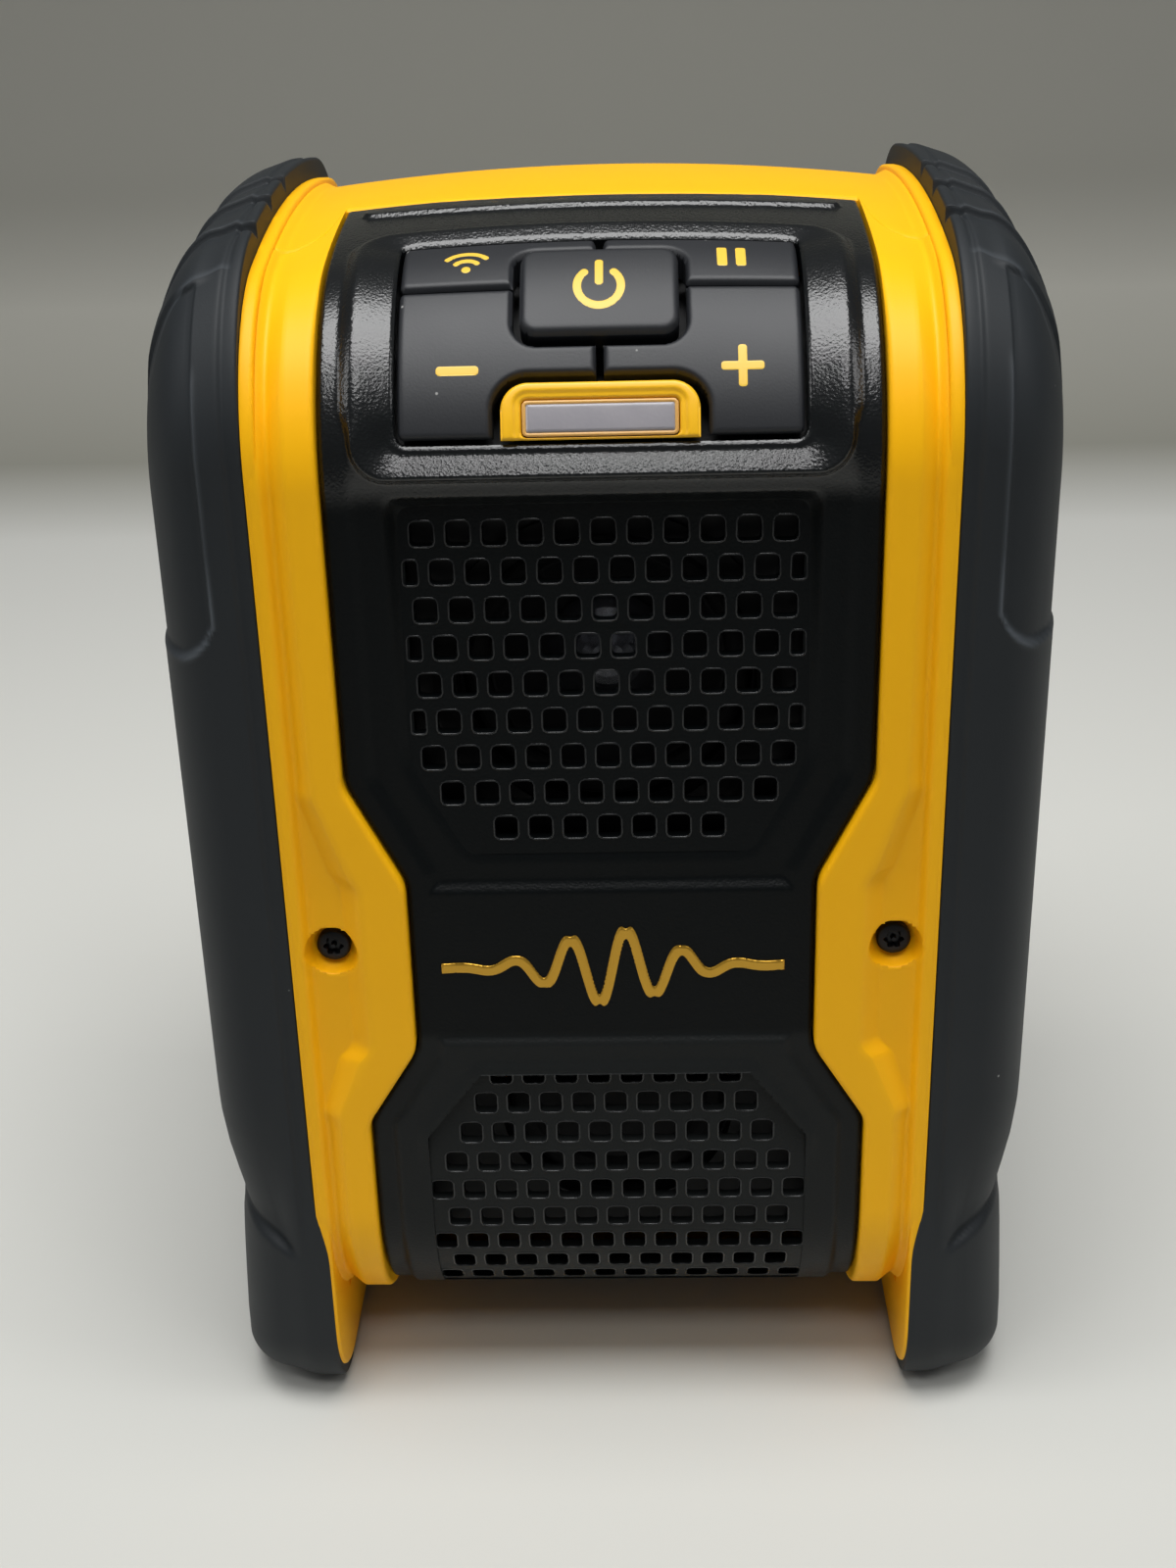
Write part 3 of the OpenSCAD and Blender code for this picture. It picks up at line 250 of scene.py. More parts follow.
def rounded_inside(x, y, mid, size, r):
    """Distance inside a rounded rectangle."""
    qx = np.abs(x - mid[0]) - size[0] / 2 + r
    qy = np.abs(y - mid[1]) - size[1] / 2 + r
    return r - np.hypot(np.maximum(qx, 0), np.maximum(qy, 0)) - np.minimum(np.maximum(qx, qy), 0)


UPPER_CORNERS = [(UPPER_HALF, UPPER_ENDS[0]), (-UPPER_HALF, UPPER_ENDS[0]), (-UPPER_HALF, UPPER_CUT[0]),
                 (-UPPER_CUT[1], UPPER_ENDS[1]), (UPPER_CUT[1], UPPER_ENDS[1]), (UPPER_HALF, UPPER_CUT[0])]
LOWER_CORNERS = [(LOWER_TOP[1], LOWER_TOP[0]), (-LOWER_TOP[1], LOWER_TOP[0]), (-LOWER_HALF, LOWER_CUT),
                 (-LOWER_HALF, LOWER_FOOT), (LOWER_HALF, LOWER_FOOT), (LOWER_HALF, LOWER_CUT)]


# Meshes

def smooth_object(name, points, faces):
    """Smooth object at the origin from points in millimetres and lists of faces."""
    mesh = bpy.data.meshes.new(name)
    mesh.from_pydata((np.asarray(points).reshape(-1, 3) * MM).tolist(), [], [list(f) for f in faces])
    mesh.polygons.foreach_set("use_smooth", np.ones(len(mesh.polygons), bool))
    mesh.update()
    obj = bpy.data.objects.new(name, mesh)
    bpy.context.scene.collection.objects.link(obj)
    return obj


def make_piece(name, points, faces, look, body, nodes, slot, sharp=None, painted_highlight=None):
    """Piece of the part with the finish called look, sharp edges above an angle and, where given, painted highlight
    marks.
    """
    obj = smooth_object(name, points, faces)
    mesh = obj.data
    # Painted highlight marks, kept as a value per point
    if painted_highlight is not None:
        mesh.attributes.new("painted_highlight", "FLOAT", "POINT").data.foreach_set("value", np.asarray(painted_highlight, np.float32).ravel())
    mesh.validate()
    if sharp is not None:
        mesh.set_sharp_from_angle(angle=math.radians(sharp))
    mesh.materials.append(LOOKS[look])
    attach(obj, body)
    if nodes:
        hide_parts(*nodes)


def cells(grid):
    """The four corners of every cell of a grid, in order round the cell."""
    return grid[:-1, :-1], grid[1:, :-1], grid[1:, 1:], grid[:-1, 1:]


class Parts:
    """Collects several grids into one list of points and faces."""

    def __init__(self):
        """Starts with nothing."""
        self.points, self.faces, self.count = [], [], 0

    def add(self, points, faces):
        """Appends points, and faces numbered from the first of them."""
        points = np.asarray(points, float).reshape(-1, 3)
        self.points.append(points)
        self.faces.extend((np.asarray(f) + self.count).tolist() for f in faces)
        self.count += len(points)

    def grid(self, p, loop_u=False, loop_v=False, flip=False, keep=None):
        """Quads of a grid of points p[u, v], closed round u or v where asked, kept where keep is true."""
        n, m = p.shape[:2]
        ids = np.arange(n * m).reshape(n, m)
        if loop_u:
            ids = np.vstack([ids, ids[:1]])
        if loop_v:
            ids = np.hstack([ids, ids[:, :1]])
        quads = np.stack(cells(ids), -1)
        if keep is not None:
            quads = quads[keep]
        quads = quads.reshape(-1, 4)
        self.add(p, quads[:, ::-1] if flip else quads)

    def cap(self, ring, flip=False):
        """One face over a ring of points."""
        ids = np.arange(len(ring))
        self.add(ring, [ids[::-1] if flip else ids])

    def all(self):
        """All points as one array, and all faces."""
        return np.vstack(self.points), self.faces


def masked_plate(xs, ys, inside, height, behind, back=True):
    """Plate on the casing cut from a grid: points near the outline inside(x, y) = 0 are moved on to it along its
    gradient, and cells inside are kept. height(x, y, d) is the front at distance d inside the outline, behind(h)
    the rear under a front height h. Walls join both along the outline, and the back is closed where asked."""
    x, y = np.meshgrid(xs, ys, indexing="ij")
    step = max(np.diff(xs).max(), np.diff(ys).max())
    e = step * 0.2
    for _ in range(3):
        d = inside(x, y)
        gx = (inside(x + e, y) - inside(x - e, y)) / (2 * e)
        gy = (inside(x, y + e) - inside(x, y - e)) / (2 * e)
        g2 = np.maximum(gx * gx + gy * gy, 0.2)
        near = np.abs(d) < step * 0.62
        x = np.where(near, x - d * gx / g2, x)
        y = np.where(near, y - d * gy / g2, y)
    d = inside(x, y)
    keep = np.logical_and.reduce(cells(d > -step * 0.12))
    quads = np.stack(cells(np.arange(x.size).reshape(x.shape)), -1)[keep]
    edges = np.concatenate([quads[:, [k, (k + 1) % 4]] for k in range(4)])
    key = np.sort(edges, 1)
    _, first, count = np.unique(key[:, 0] * x.size + key[:, 1], return_index=True, return_counts=True)
    used = np.zeros(x.size, bool)
    used[quads] = True
    number = np.cumsum(used) - 1
    quads, rim = number[quads], number[edges[first[count == 1]]]
    h = height(x, y, np.maximum(d, 0))
    front = on_casing(x, y, h).reshape(-1, 3)[used]
    rear = on_casing(x, y, behind(h)).reshape(-1, 3)[used]
    parts = Parts()
    parts.add(front, quads)
    parts.add(np.vstack([front, rear]), np.hstack([rim[:, ::-1], rim + len(front)]))
    if back:
        parts.add(rear, quads[:, ::-1])
    return parts.all()


# Finishes

def linear(r, g, b):
    """Linear colour of an sRGB one given as 0 to 255."""
    c = np.array([r, g, b]) / 255.0
    return tuple(np.where(c <= 0.04045, c / 12.92, ((c + 0.055) / 1.055) ** 2.4)) + (1.0,)


def group_of(name, inputs, outputs):
    """Empty shader group with named sockets."""
    tree = bpy.data.node_groups.new(name, "ShaderNodeTree")
    for label, kind, value in inputs:
        item = tree.interface.new_socket(label, in_out="INPUT", socket_type=kind)
        if value is not None:
            item.default_value = value
    for label, kind in outputs:
        tree.interface.new_socket(label, in_out="OUTPUT", socket_type=kind)
    return tree, tree.nodes.new("NodeGroupInput"), tree.nodes.new("NodeGroupOutput")


def add(tree, kind, links=(), **settings):
    """Node with settings, and links given as (input, output socket or value)."""
    node = tree.nodes.new(kind)
    for key, value in settings.items():
        setattr(node, key, value)
    for label, source in links:
        if isinstance(source, bpy.types.NodeSocket):
            tree.links.new(source, node.inputs[label])
        else:
            node.inputs[label].default_value = source
    return node


def tint(tree, share, base, tone):
    """Colour that a share mixes from base towards tone."""
    return add(tree, "ShaderNodeMix", [(0, share), (6, base), (7, tone)], data_type="RGBA").outputs[2]


def ramp(tree, value, ends, first, last):
    """Smooth change from first to last while a value runs from one end to the other."""
    return add(tree, "ShaderNodeMapRange", [(0, value), (1, ends[0]), (2, ends[1]), (3, first), (4, last)],
               interpolation_type="SMOOTHSTEP").outputs[0]


def calc(tree, operation, *values):
    """Result of a sum on up to three values."""
    return add(tree, "ShaderNodeMath", list(enumerate(values)), operation=operation).outputs[0]


def moulded_grain():
    """Spark-eroded mould texture: two noise sizes as a height, and a slow change of roughness."""
    tree, start, end = group_of("moulded_grain", [
        ("Position", "NodeSocketVector", None), ("Grain", "NodeSocketFloat", 2600.0),
        ("Rough", "NodeSocketFloat", 0.5), ("Spread", "NodeSocketFloat", 0.08)],
        [("Height", "NodeSocketFloat"), ("Roughness", "NodeSocketFloat")])
    where, grain, rough, spread = (start.outputs[k] for k in ("Position", "Grain", "Rough", "Spread"))
    fine = add(tree, "ShaderNodeTexNoise", [("Vector", where), ("Scale", grain), ("Detail", 2.0), ("Roughness", 0.6)])
    pits = add(tree, "ShaderNodeTexVoronoi", [("Vector", where), ("Scale", grain)])
    slow = add(tree, "ShaderNodeTexNoise", [("Vector", where), ("Scale", 55.0), ("Detail", 3.0)])
    height = calc(tree, "MULTIPLY_ADD", pits.outputs["Distance"], 0.6, fine.outputs["Fac"])
    centred = calc(tree, "SUBTRACT", slow.outputs["Fac"], 0.5)
    tree.links.new(height, end.inputs["Height"])
    tree.links.new(calc(tree, "MULTIPLY_ADD", centred, spread, rough), end.inputs["Roughness"])
    return tree


def soft_mottle():
    """Faint flow marks of the moulding: the colour moves between two tones on a slow noise."""
    tree, start, end = group_of("soft_mottle", [
        ("Position", "NodeSocketVector", None), ("Tone", "NodeSocketColor", (1, 1, 1, 1)),
        ("Other", "NodeSocketColor", (1, 1, 1, 1)), ("Size", "NodeSocketFloat", 60.0)], [("Color", "NodeSocketColor")])
    where, tone, other, size = (start.outputs[k] for k in ("Position", "Tone", "Other", "Size"))
    flow = add(tree, "ShaderNodeTexNoise", [("Vector", where), ("Scale", size), ("Detail", 4.0)])
    tree.links.new(tint(tree, flow.outputs["Fac"], tone, other), end.inputs["Color"])
    return tree


def dust_specks():
    """A few pale specks of dust: small dots on a sparse cell pattern."""
    tree, start, end = group_of("dust_specks", [
        ("Position", "NodeSocketVector", None), ("Spacing", "NodeSocketFloat", 420.0),
        ("Share", "NodeSocketFloat", 0.06)], [("Mask", "NodeSocketFloat")])
    where, spacing, share = (start.outputs[k] for k in ("Position", "Spacing", "Share"))
    spots = add(tree, "ShaderNodeTexVoronoi", [("Vector", where), ("Scale", spacing)])
    dot = add(tree, "ShaderNodeMapRange", [(0, spots.outputs["Distance"]), (1, 0.1), (2, 0.05), (3, 0.0), (4, 1.0)])
    pick = add(tree, "ShaderNodeSeparateColor", [(0, spots.outputs["Color"])])
    few = calc(tree, "LESS_THAN", pick.outputs[0], share)
    tree.links.new(calc(tree, "MULTIPLY", dot.outputs[0], few), end.inputs["Mask"])
    return tree


GRAIN, MOTTLE, DUST = moulded_grain(), soft_mottle(), dust_specks()
DUST_TONE = (0.3, 0.3, 0.29, 1)
ROUGH_SPREAD = 0.08


def finish(name, tone, other, rough, grain, bump, bump_size, dust=0.0, mottle=60.0, gloss_above=None,
           painted_bounce_below=None, painted_highlight=None, **shader):
    """Moulded finish: mottled colour, grain in the normal, uneven roughness and, where asked, dust, a paler zone
    below a height as painted bounce light, painted highlights on marked edges or a polished zone above a height."""
    mat = bpy.data.materials.new(name)
    mat.use_nodes = True
    tree = mat.node_tree
    bsdf = tree.nodes["Principled BSDF"]
    where = add(tree, "ShaderNodeTexCoord").outputs["Object"]
    base = add(tree, "ShaderNodeGroup", [("Position", where), ("Tone", linear(*tone)), ("Other", linear(*other)),
                                         ("Size", mottle)], node_tree=MOTTLE).outputs["Color"]
    if dust:
        specks = add(tree, "ShaderNodeGroup", [("Position", where), ("Share", dust)], node_tree=DUST)
        base = tint(tree, specks.outputs["Mask"], base, DUST_TONE)
    if painted_bounce_below or gloss_above:
        height = add(tree, "ShaderNodeSeparateXYZ", [(0, where)]).outputs["Z"]
    # Painted bounce light: the colour turns paler below a height, where light reflected from the floor falls
    if painted_bounce_below:
        base = tint(tree, ramp(tree, height, painted_bounce_below[:2], 1.0, 0.0), base, linear(*painted_bounce_below[2]))
    # Painted highlight: a lighter colour where the point marks are set
    if painted_highlight:
        edges = add(tree, "ShaderNodeAttribute", attribute_name="painted_highlight")
        base = tint(tree, edges.outputs["Fac"], base, linear(*painted_highlight))
    skin = add(tree, "ShaderNodeGroup", [("Position", where), ("Grain", grain), ("Rough", rough),
                                         ("Spread", ROUGH_SPREAD)], node_tree=GRAIN)
    relief = add(tree, "ShaderNodeBump", [("Strength", bump), ("Distance", bump_size),
                                          ("Height", skin.outputs["Height"])]).outputs["Normal"]
    wires = [("Base Color", base), ("Roughness", skin.outputs["Roughness"]), ("Normal", relief)]
    if gloss_above:
        wires += [("Coat Weight", ramp(tree, height, gloss_above, 0.0, 1.0)), ("Coat Normal", relief)]
    for label, source in wires:
        tree.links.new(source, bsdf.inputs[label])
    for label, value in shader.items():
        bsdf.inputs[label.replace("_", " ")].default_value = value
    return mat


# Each row: two tones, roughness, grain, strength and size of the relief in metres, and extras
FINISHES = {
    "yellow_nylon": ((252, 186, 10), (248, 180, 8), 0.46, 2200.0, 0.12, 5e-5,
        dict(mottle=28.0, Specular_IOR_Level=0.22)),
    # The bumper's lighter mark colour paints highlights on its bead and tread crests
    "bumper_rubber": ((33, 37, 40), (29, 33, 36), 0.6, 3000.0, 0.2, 5e-5,
        dict(dust=0.012, painted_highlight=(74, 79, 84), Specular_IOR_Level=0.3)),
    # The panel's paler zone low down is painted bounce light from the floor
    "panel_black": ((9, 12, 13), (7, 10, 11), 0.42, 2400.0, 0.6, 7e-5,
        dict(gloss_above=(0.1495, 0.1535), painted_bounce_below=(0.0685, 0.0705, (27, 29, 29)), Specular_IOR_Level=0.12,
             Coat_Roughness=0.17)),
    # Hole lips: the panel black made lighter as a painted highlight on the lip rings; the lower roughness is their
    # gloss
    "lip_black": ((20, 22, 24), (16, 18, 20), 0.24, 2400.0, 0.2, 4e-5),
    "key_silicone": ((29, 31, 35), (25, 27, 31), 0.5, 2800.0, 0.2, 5e-5, dict(dust=0.08)),
    "lamp_yellow": ((248, 190, 30), (244, 184, 24), 0.35, 2400.0, 0.08, 4e-5),
    "frosted_lens": ((158, 154, 158), (140, 138, 144), 0.34, 1400.0, 0.3, 5e-5, dict(mottle=240.0, Coat_Weight=0.15)),
    "lens_edge": ((226, 172, 84), (206, 160, 96), 0.3, 1400.0, 0.1, 4e-5, dict(mottle=300.0)),
    "gold_print": ((238, 196, 70), (230, 186, 60), 0.4, 3000.0, 0.05, 3e-5),
    "gold_foil": ((206, 160, 58), (196, 148, 48), 0.3, 1500.0, 0.25, 4e-5, dict(Metallic=0.75)),
    "black_screw": ((20, 20, 22), (26, 26, 28), 0.35, 1800.0, 0.1, 4e-5, dict(Metallic=0.6)),
    "bright_dome": ((150, 152, 158), (140, 142, 150), 0.25, 1500.0, 0.05, 3e-5, dict(Metallic=0.9)),
    "cone_paper": ((30, 30, 32), (24, 24, 26), 0.7, 900.0, 0.4, 1e-4),
    "roll_foam": ((24, 24, 25), (20, 20, 21), 0.75, 1400.0, 0.3, 8e-5),
    "inner_moulding": ((32, 33, 35), (28, 29, 31), 0.55, 2000.0, 0.2, 6e-5),
    "circuit_green": ((22, 84, 52), (18, 72, 46), 0.4, 700.0, 0.15, 5e-5, dict(mottle=220.0)),
    "part_black": ((38, 38, 42), (32, 32, 36), 0.45, 1500.0, 0.1, 4e-5),
    "zinc_steel": ((176, 178, 182), (160, 162, 168), 0.32, 900.0, 0.1, 4e-5, dict(Metallic=1.0)),
    "oxide_steel": ((40, 40, 43), (32, 32, 35), 0.45, 1200.0, 0.15, 4e-5, dict(Metallic=0.7)),
    "ferrite": ((58, 58, 62), (50, 50, 54), 0.6, 800.0, 0.4, 1e-4),
    "spider_cloth": ((190, 142, 70), (176, 128, 60), 0.85, 1300.0, 0.5, 1e-4),
    "coil_copper": ((196, 112, 62), (180, 98, 52), 0.35, 1200.0, 0.2, 5e-5, dict(Metallic=1.0)),
    "sink_alloy": ((190, 192, 196), (178, 180, 186), 0.4, 900.0, 0.15, 5e-5, dict(Metallic=1.0)),
    "blade_plating": ((222, 188, 96), (210, 174, 84), 0.3, 900.0, 0.1, 4e-5, dict(Metallic=1.0)),
    "lead_sleeve": ((150, 26, 28), (136, 20, 22), 0.5, 1500.0, 0.1, 4e-5),
    "ribbon_film": ((214, 214, 210), (204, 204, 200), 0.45, 800.0, 0.15, 5e-5),
    "status_cap": ((232, 232, 236), (222, 222, 230), 0.3, 1200.0, 0.05, 3e-5),
}
LOOKS = {name: finish(name, *row[:6], **dict(*row[6:])) for name, row in FINISHES.items()}

SLOT_FINISH = {
    "casing": "yellow_nylon", "bumper": "bumper_rubber", "panel": "panel_black", "key": "key_silicone",
    "lamp_frame": "lamp_yellow", "lens": "frosted_lens", "inner_plastic": "inner_moulding", "board": "circuit_green",
    "component": "part_black", "light": "status_cap", "foam": "roll_foam", "steel": "zinc_steel",
    "dark_steel": "oxide_steel", "magnet": "ferrite", "spider": "spider_cloth", "copper": "coil_copper",
    "cone": "cone_paper", "cap": "bright_dome", "sink": "sink_alloy", "blade": "blade_plating", "lead": "lead_sleeve",
    "ribbon": "ribbon_film",
}
for part in frame["record"]["subparts"]:
    node = frame["nodes"][part["node"]]
    node.data.materials.clear()
    node.data.materials.append(LOOKS[SLOT_FINISH[part["material_slot"]]])


# Yellow casing

SEAM_X = (0.0, 37.4, 37.7, 38.2, 39.6, 42.0, 45.0, 60.0)
SEAM_Y = (-7.4, -7.4, -12.0, -17.6, -22.2, -25.2, -26.0, -26.0)
RIM_COLUMNS = np.array([0.0, 0.04, 0.14, 0.3, 0.5, 0.75, 1.1, 1.7, 2.4, 3.0, 3.6])
SLOPE_SHARES = np.linspace(0, 1, 14)[1:]
LIP_COLUMNS = np.array([3.6, 3.3, 3.0, 2.75, 2.5, 2.2, 1.8, 1.4, 1.0, 0.75, 0.5, 0.32, 0.18, 0.07, 0.0])
RIM_FLAT = (4.2, 6.6)
RIM_SLOPE = (2.3, 3.0)
RIM_RISE = 1.45
POCKET = (-0.15, -0.6)
LIP_RISE = 0.95
LIP_FLAT = 1.7
LIP_SLOPE = 1.5
RIM_ROUND, LIP_ROUND = 0.75, 0.9
POCKET_FADE = (134, 18)
RIM_FADE = (128, 24)
STRETCH_FROM, RAIL_END = 140, 155.0
SEAM_GAP = 0.1
RAIL_WALLS = (3.6, 1.6)
TOE_SINK, TOE_STEP = 0.15, (1.2, 1.6)
BORE_R = 3.8
BORE_FLOOR = -48.5
BORE_CLEAR = 0.45
SHELL_HALF = 45.2
SHELL_SPLIT = 37.0
SHELL_WALL, SHELL_ROUND = 2.4, 0.5
FILLET, FILLET_END = (0.9, 43.2, 2.0), 8
REAR_SCREWS = [(x, z) for x in (-41.1, 41.1) for z in (42.0, 138.0)]
REAR_BORE = (3.25, 3.2, 11.0)
REAR_CLEAR = 4.0
CHEEK_COUNTS = (18, 40, 30, 50, 26, 40, 18, 30)
CHEEK_LOW = 2.0
CHEEK_TURNS = (24.5, 24, 13)
CHEEK_SECTION = ((45.0, 12.6), (45.0, 0.9), (45.06, 0.5), (45.25, 0.25), (45.6, 0.14), (46.6, 0.14), (46.9, 0.2),
                 (47.0, 0.5), (47.0, 12.6))
# Dark sheet under the belly, painted shade
SHADE_SHEET_X, SHADE_SHEET_Y, SHADE_SHEET_R = (-44.0, 44.0), (-34.0, 31.0), 4.0
SHADE_SHEET_DROP, SHADE_SHEET_LIFT, SHADE_SHEET_ROUND = 0.3, 0.6, 0.8
HEAD_R, HEAD_TALL = 2.5, 1.2


def seam_arc(x):
    """Arc length of the seam between front frame and rear housing at side position x."""
    return arc_of_y(np.interp(np.abs(x), SEAM_X, SEAM_Y))


def rail_band(s):
    """Share of the waist at arc length s, and the widths of the rim's flat and slope there."""
    waist = (PANEL_HALF - panel_edge(s)) / (PANEL_HALF - WAIST_HALF)
    return waist, between(RIM_FLAT, waist), between(RIM_SLOPE, waist)


def rail_height(x, s):
    """Cross-section of a rail: a rim along the panel that slopes down to a pocket, and a rounded lip beside the
    rubber. The rim fades out on the shoulder."""
    waist, flat, slope = rail_band(s)
    d = (x - panel_edge(s) - PANEL_FIT) * edge_lean(s)
    e = CHEEK_OUT - x
    floor = between(POCKET, waist)
    rim = (RIM_RISE - floor) * (1 - facet((d - flat) / slope)) - round_over(np.maximum(d, 0), RIM_ROUND)
    lip = (LIP_RISE - floor) * (1 - ease((e - LIP_FLAT) / LIP_SLOPE)) - round_over(np.maximum(e, 0), LIP_ROUND)
    pocket_share, rim_share = (1 - ease((s - at) / run) for at, run in (POCKET_FADE, RIM_FADE))
    return floor * pocket_share + rim * rim_share + lip


def front_rails():
    """Rails: rows along the casing line from the toe to the seam, columns from the panel edge to the cheek edge.
    The columns keep their distance from the edge they belong to and stretch between."""
    rows = np.concatenate([np.linspace(S_TOE, 0, 60), np.linspace(0.5, S_FRONT, 230),
                           np.linspace(S_FRONT + 0.5, RAIL_END, 90)])
    s = rows[:, None]
    edge = panel_edge(s) + PANEL_FIT
    _, flat, slope = rail_band(s)
    band = RIM_COLUMNS / RIM_COLUMNS[-1] * flat
    reach = np.hstack([np.broadcast_to(RIM_COLUMNS[:7], (len(rows), 7)), band[:, 7:], flat + slope * SLOPE_SHARES])
    outer = CHEEK_OUT - LIP_COLUMNS
    inner = edge + reach / edge_lean(s)
    inner = np.minimum(inner, outer[0] - 0.01 * (reach.shape[1] - np.arange(reach.shape[1])))
    mid = inner[:, -1:] + (outer[0] - inner[:, -1:]) * np.linspace(0, 1, 14)[1:-1]
    x = np.hstack([inner, mid, np.broadcast_to(outer, (len(rows), len(outer)))])
    stretch = (seam_arc(x) - SEAM_GAP - STRETCH_FROM) / (RAIL_END - STRETCH_FROM)
    arc = np.where(s > STRETCH_FROM, STRETCH_FROM + (s - STRETCH_FROM) * stretch, s)
    far = np.hypot(x - SCREW_X, casing_line(arc)[1] - SCREW_Z)
    keep = np.logical_or.reduce(cells(far > BORE_R + BORE_CLEAR))
    parts = Parts()
    for side in (-1, 1):
        grid = on_casing(side * x, arc, rail_height(x, s))
        parts.grid(grid, flip=side < 0, keep=keep)
        parts.grid(np.stack([grid[:, 0], on_casing(side * edge[:, 0], arc[:, 0], -RAIL_WALLS[0])], 1), flip=side > 0)
        parts.grid(np.stack([grid[-1], on_casing(side * x[-1], arc[-1], -RAIL_WALLS[1])], 0), flip=side < 0)
        parts.grid(screw_mouth(side), flip=side < 0)
    strip = np.linspace(-PANEL_HALF - PANEL_FIT, PANEL_HALF + PANEL_FIT, 40)[None, :]
    s = np.linspace(S_TOE, arc_of_z(PANEL_BOTTOM) - PANEL_FIT, 24)[:, None]
    parts.grid(on_casing(strip, s, -TOE_SINK - TOE_STEP[0] * ease((s - s.max() + TOE_STEP[1]) / TOE_STEP[1])))
    return parts.all()


def screw_mouth(side):
    """Counterbore of a front screw as a turned profile that starts on the rail: rounded mouth, cone and floor."""
    r = np.array([1.3, 0.9, 0.5, 0.3, 0.14, 0.04, 0.0, -0.2, -0.55, -1.15, -BORE_R])[:, None] + BORE_R
    sink = np.array([-0.05, 0.015, 0.015, -0.01, -0.07, -0.18, -0.34])[:, None]
    a = np.linspace(0, 2 * math.pi, 97)[None, :]
    x, z = SCREW_X + r * np.cos(a), SCREW_Z + r * np.sin(a)
    n = len(sink)
    y = RAIL_Y - rail_height(x[:n], z[:n] - FRONT_LOW) - sink
    down = np.linspace(0, 1, 4)[1:, None]
    wall = y[-1:] + (BORE_FLOOR - y[-1:]) * down
    y = np.vstack([y, wall, np.full((1, a.shape[1]), BORE_FLOOR)])
    return np.stack([side * x, y, z], -1)


def rear_bore(x, z):
    """Rear screw recess as a turned profile: a flat ring on the back, a rounded mouth, a cone and a flat floor."""
    mouth, floor, deep = REAR_BORE
    r = np.array([mouth + 1.15, mouth + 0.5, mouth + 0.16, mouth, mouth - 0.12, mouth - 0.2, floor, 0.0])[:, None]
    y = np.array([0.012, 0.012, 0.03, 0.0, -0.12, -0.4, -deep, -deep])[:, None]
    a = np.linspace(0, 2 * math.pi, 65)[None, :]
    return np.stack(np.broadcast_arrays(x + r * np.cos(a), BACK_Y + y, z - r * np.sin(a)), -1)


def rear_shell():
    """Roof, back and underside: rows along the casing line from the seam and the panel top round to the toe,
    columns across, with a fillet up to the cheeks."""
    margin = np.linspace(SHELL_HALF, SHELL_SPLIT, 30)
    x = np.concatenate([-margin, np.linspace(0.5 - SHELL_SPLIT, SHELL_SPLIT - 0.5, 60), margin[::-1]])
    over_panel = panel_top(np.clip(x, -PANEL_HALF, PANEL_HALF)) + PANEL_FIT
    top = np.where(np.abs(x) < SHELL_SPLIT + 0.35, over_panel, seam_arc(x) + SEAM_GAP)
    v = np.concatenate([np.linspace(0, 0.12, 10)[:-1], np.linspace(0.12, 1, 70)])
    roof = top[None, :] + (S_ROOF - top[None, :]) * v[:, None]
    spans = ((S_ROOF, S_REAR, 24), (S_REAR, S_BACK, 210), (S_BACK, S_HEEL, 12), (S_HEEL, S_SOLE, 30))
    rest = np.concatenate([np.linspace(*span)[1:] for span in spans])
    s = np.vstack([roof, np.broadcast_to(rest[:, None], (len(rest), len(x)))])
    lip = FILLET[0] * ease((np.abs(x) - FILLET[1]) / FILLET[2])[None, :]
    lip = lip * (1 - ease((s - S_REAR + FILLET_END) / FILLET_END))
    front = -round_over(np.maximum(s - top[None, :], 0), SHELL_ROUND)
    p = on_casing(x[None, :], s, lip + front)
    clear = np.ones(s.shape, bool)
    for bx, bz in REAR_SCREWS:
        clear &= (np.hypot(x[None, :] - bx, p[..., 2] - bz) > REAR_CLEAR) | (s < S_REAR)
    parts = Parts()
    parts.grid(p, flip=True, keep=np.logical_or.reduce(cells(clear)))
    parts.grid(np.stack([p[0], on_casing(x, top, -SHELL_WALL)], 0))
    for bx, bz in REAR_SCREWS:
        parts.grid(rear_bore(bx, bz))
    return parts.all()


def side_outline(front, back, top, bottom, rs, rr, rt, low, counts):
    """Closed line in the Y-Z plane of one shared layout: toe corner, front, shoulder, roof, rear shoulder, back,
    heel corner, sole, where rs, rr, rt and low are the radii of shoulder, roof, rear shoulder and low corners.
    Gives y, z, outward normal and the number of the span."""
    shoulder_y, rear_y = front + rs, back - rt
    shoulder_z, shoulder_a = meet_roof(shoulder_y, rs, top, rr)
    rear_z, rear_a = meet_roof(rear_y, rt, top, rr)
    pieces = []

    def turn(c, r, a, b, n):
        """Arc of radius r about c from angle a to b, with its normals."""
        t = np.linspace(a, b, n, endpoint=False)
        pieces.append(np.stack([c[0] + r * np.cos(t), c[1] + r * np.sin(t), np.cos(t), np.sin(t)], -1))

    def run(p, q, normal, n):
        """Straight line from p to q with one normal."""
        t = np.linspace(0, 1, n, endpoint=False)[:, None]
        pieces.append(np.hstack([np.array(p) + (np.array(q) - np.array(p)) * t, np.tile(normal, (n, 1))]))

    turn((front + low, bottom + low), low, -math.pi / 2, -math.pi, counts[0])
    run((front, bottom + low), (front, shoulder_z), (-1, 0), counts[1])
    turn((shoulder_y, shoulder_z), rs, math.pi, shoulder_a, counts[2])
    turn((CREST_Y, top - rr), rr, shoulder_a, rear_a, counts[3])
    turn((rear_y, rear_z), rt, rear_a, 0, counts[4])
    run((back, rear_z), (back, bottom + low), (1, 0), counts[5])
    turn((back - low, bottom + low), low, 0, -math.pi / 2, counts[6])
    run((back - low, bottom), (front + low, bottom), (0, -1), counts[7])
    return np.vstack(pieces), np.repeat(np.arange(8), counts)


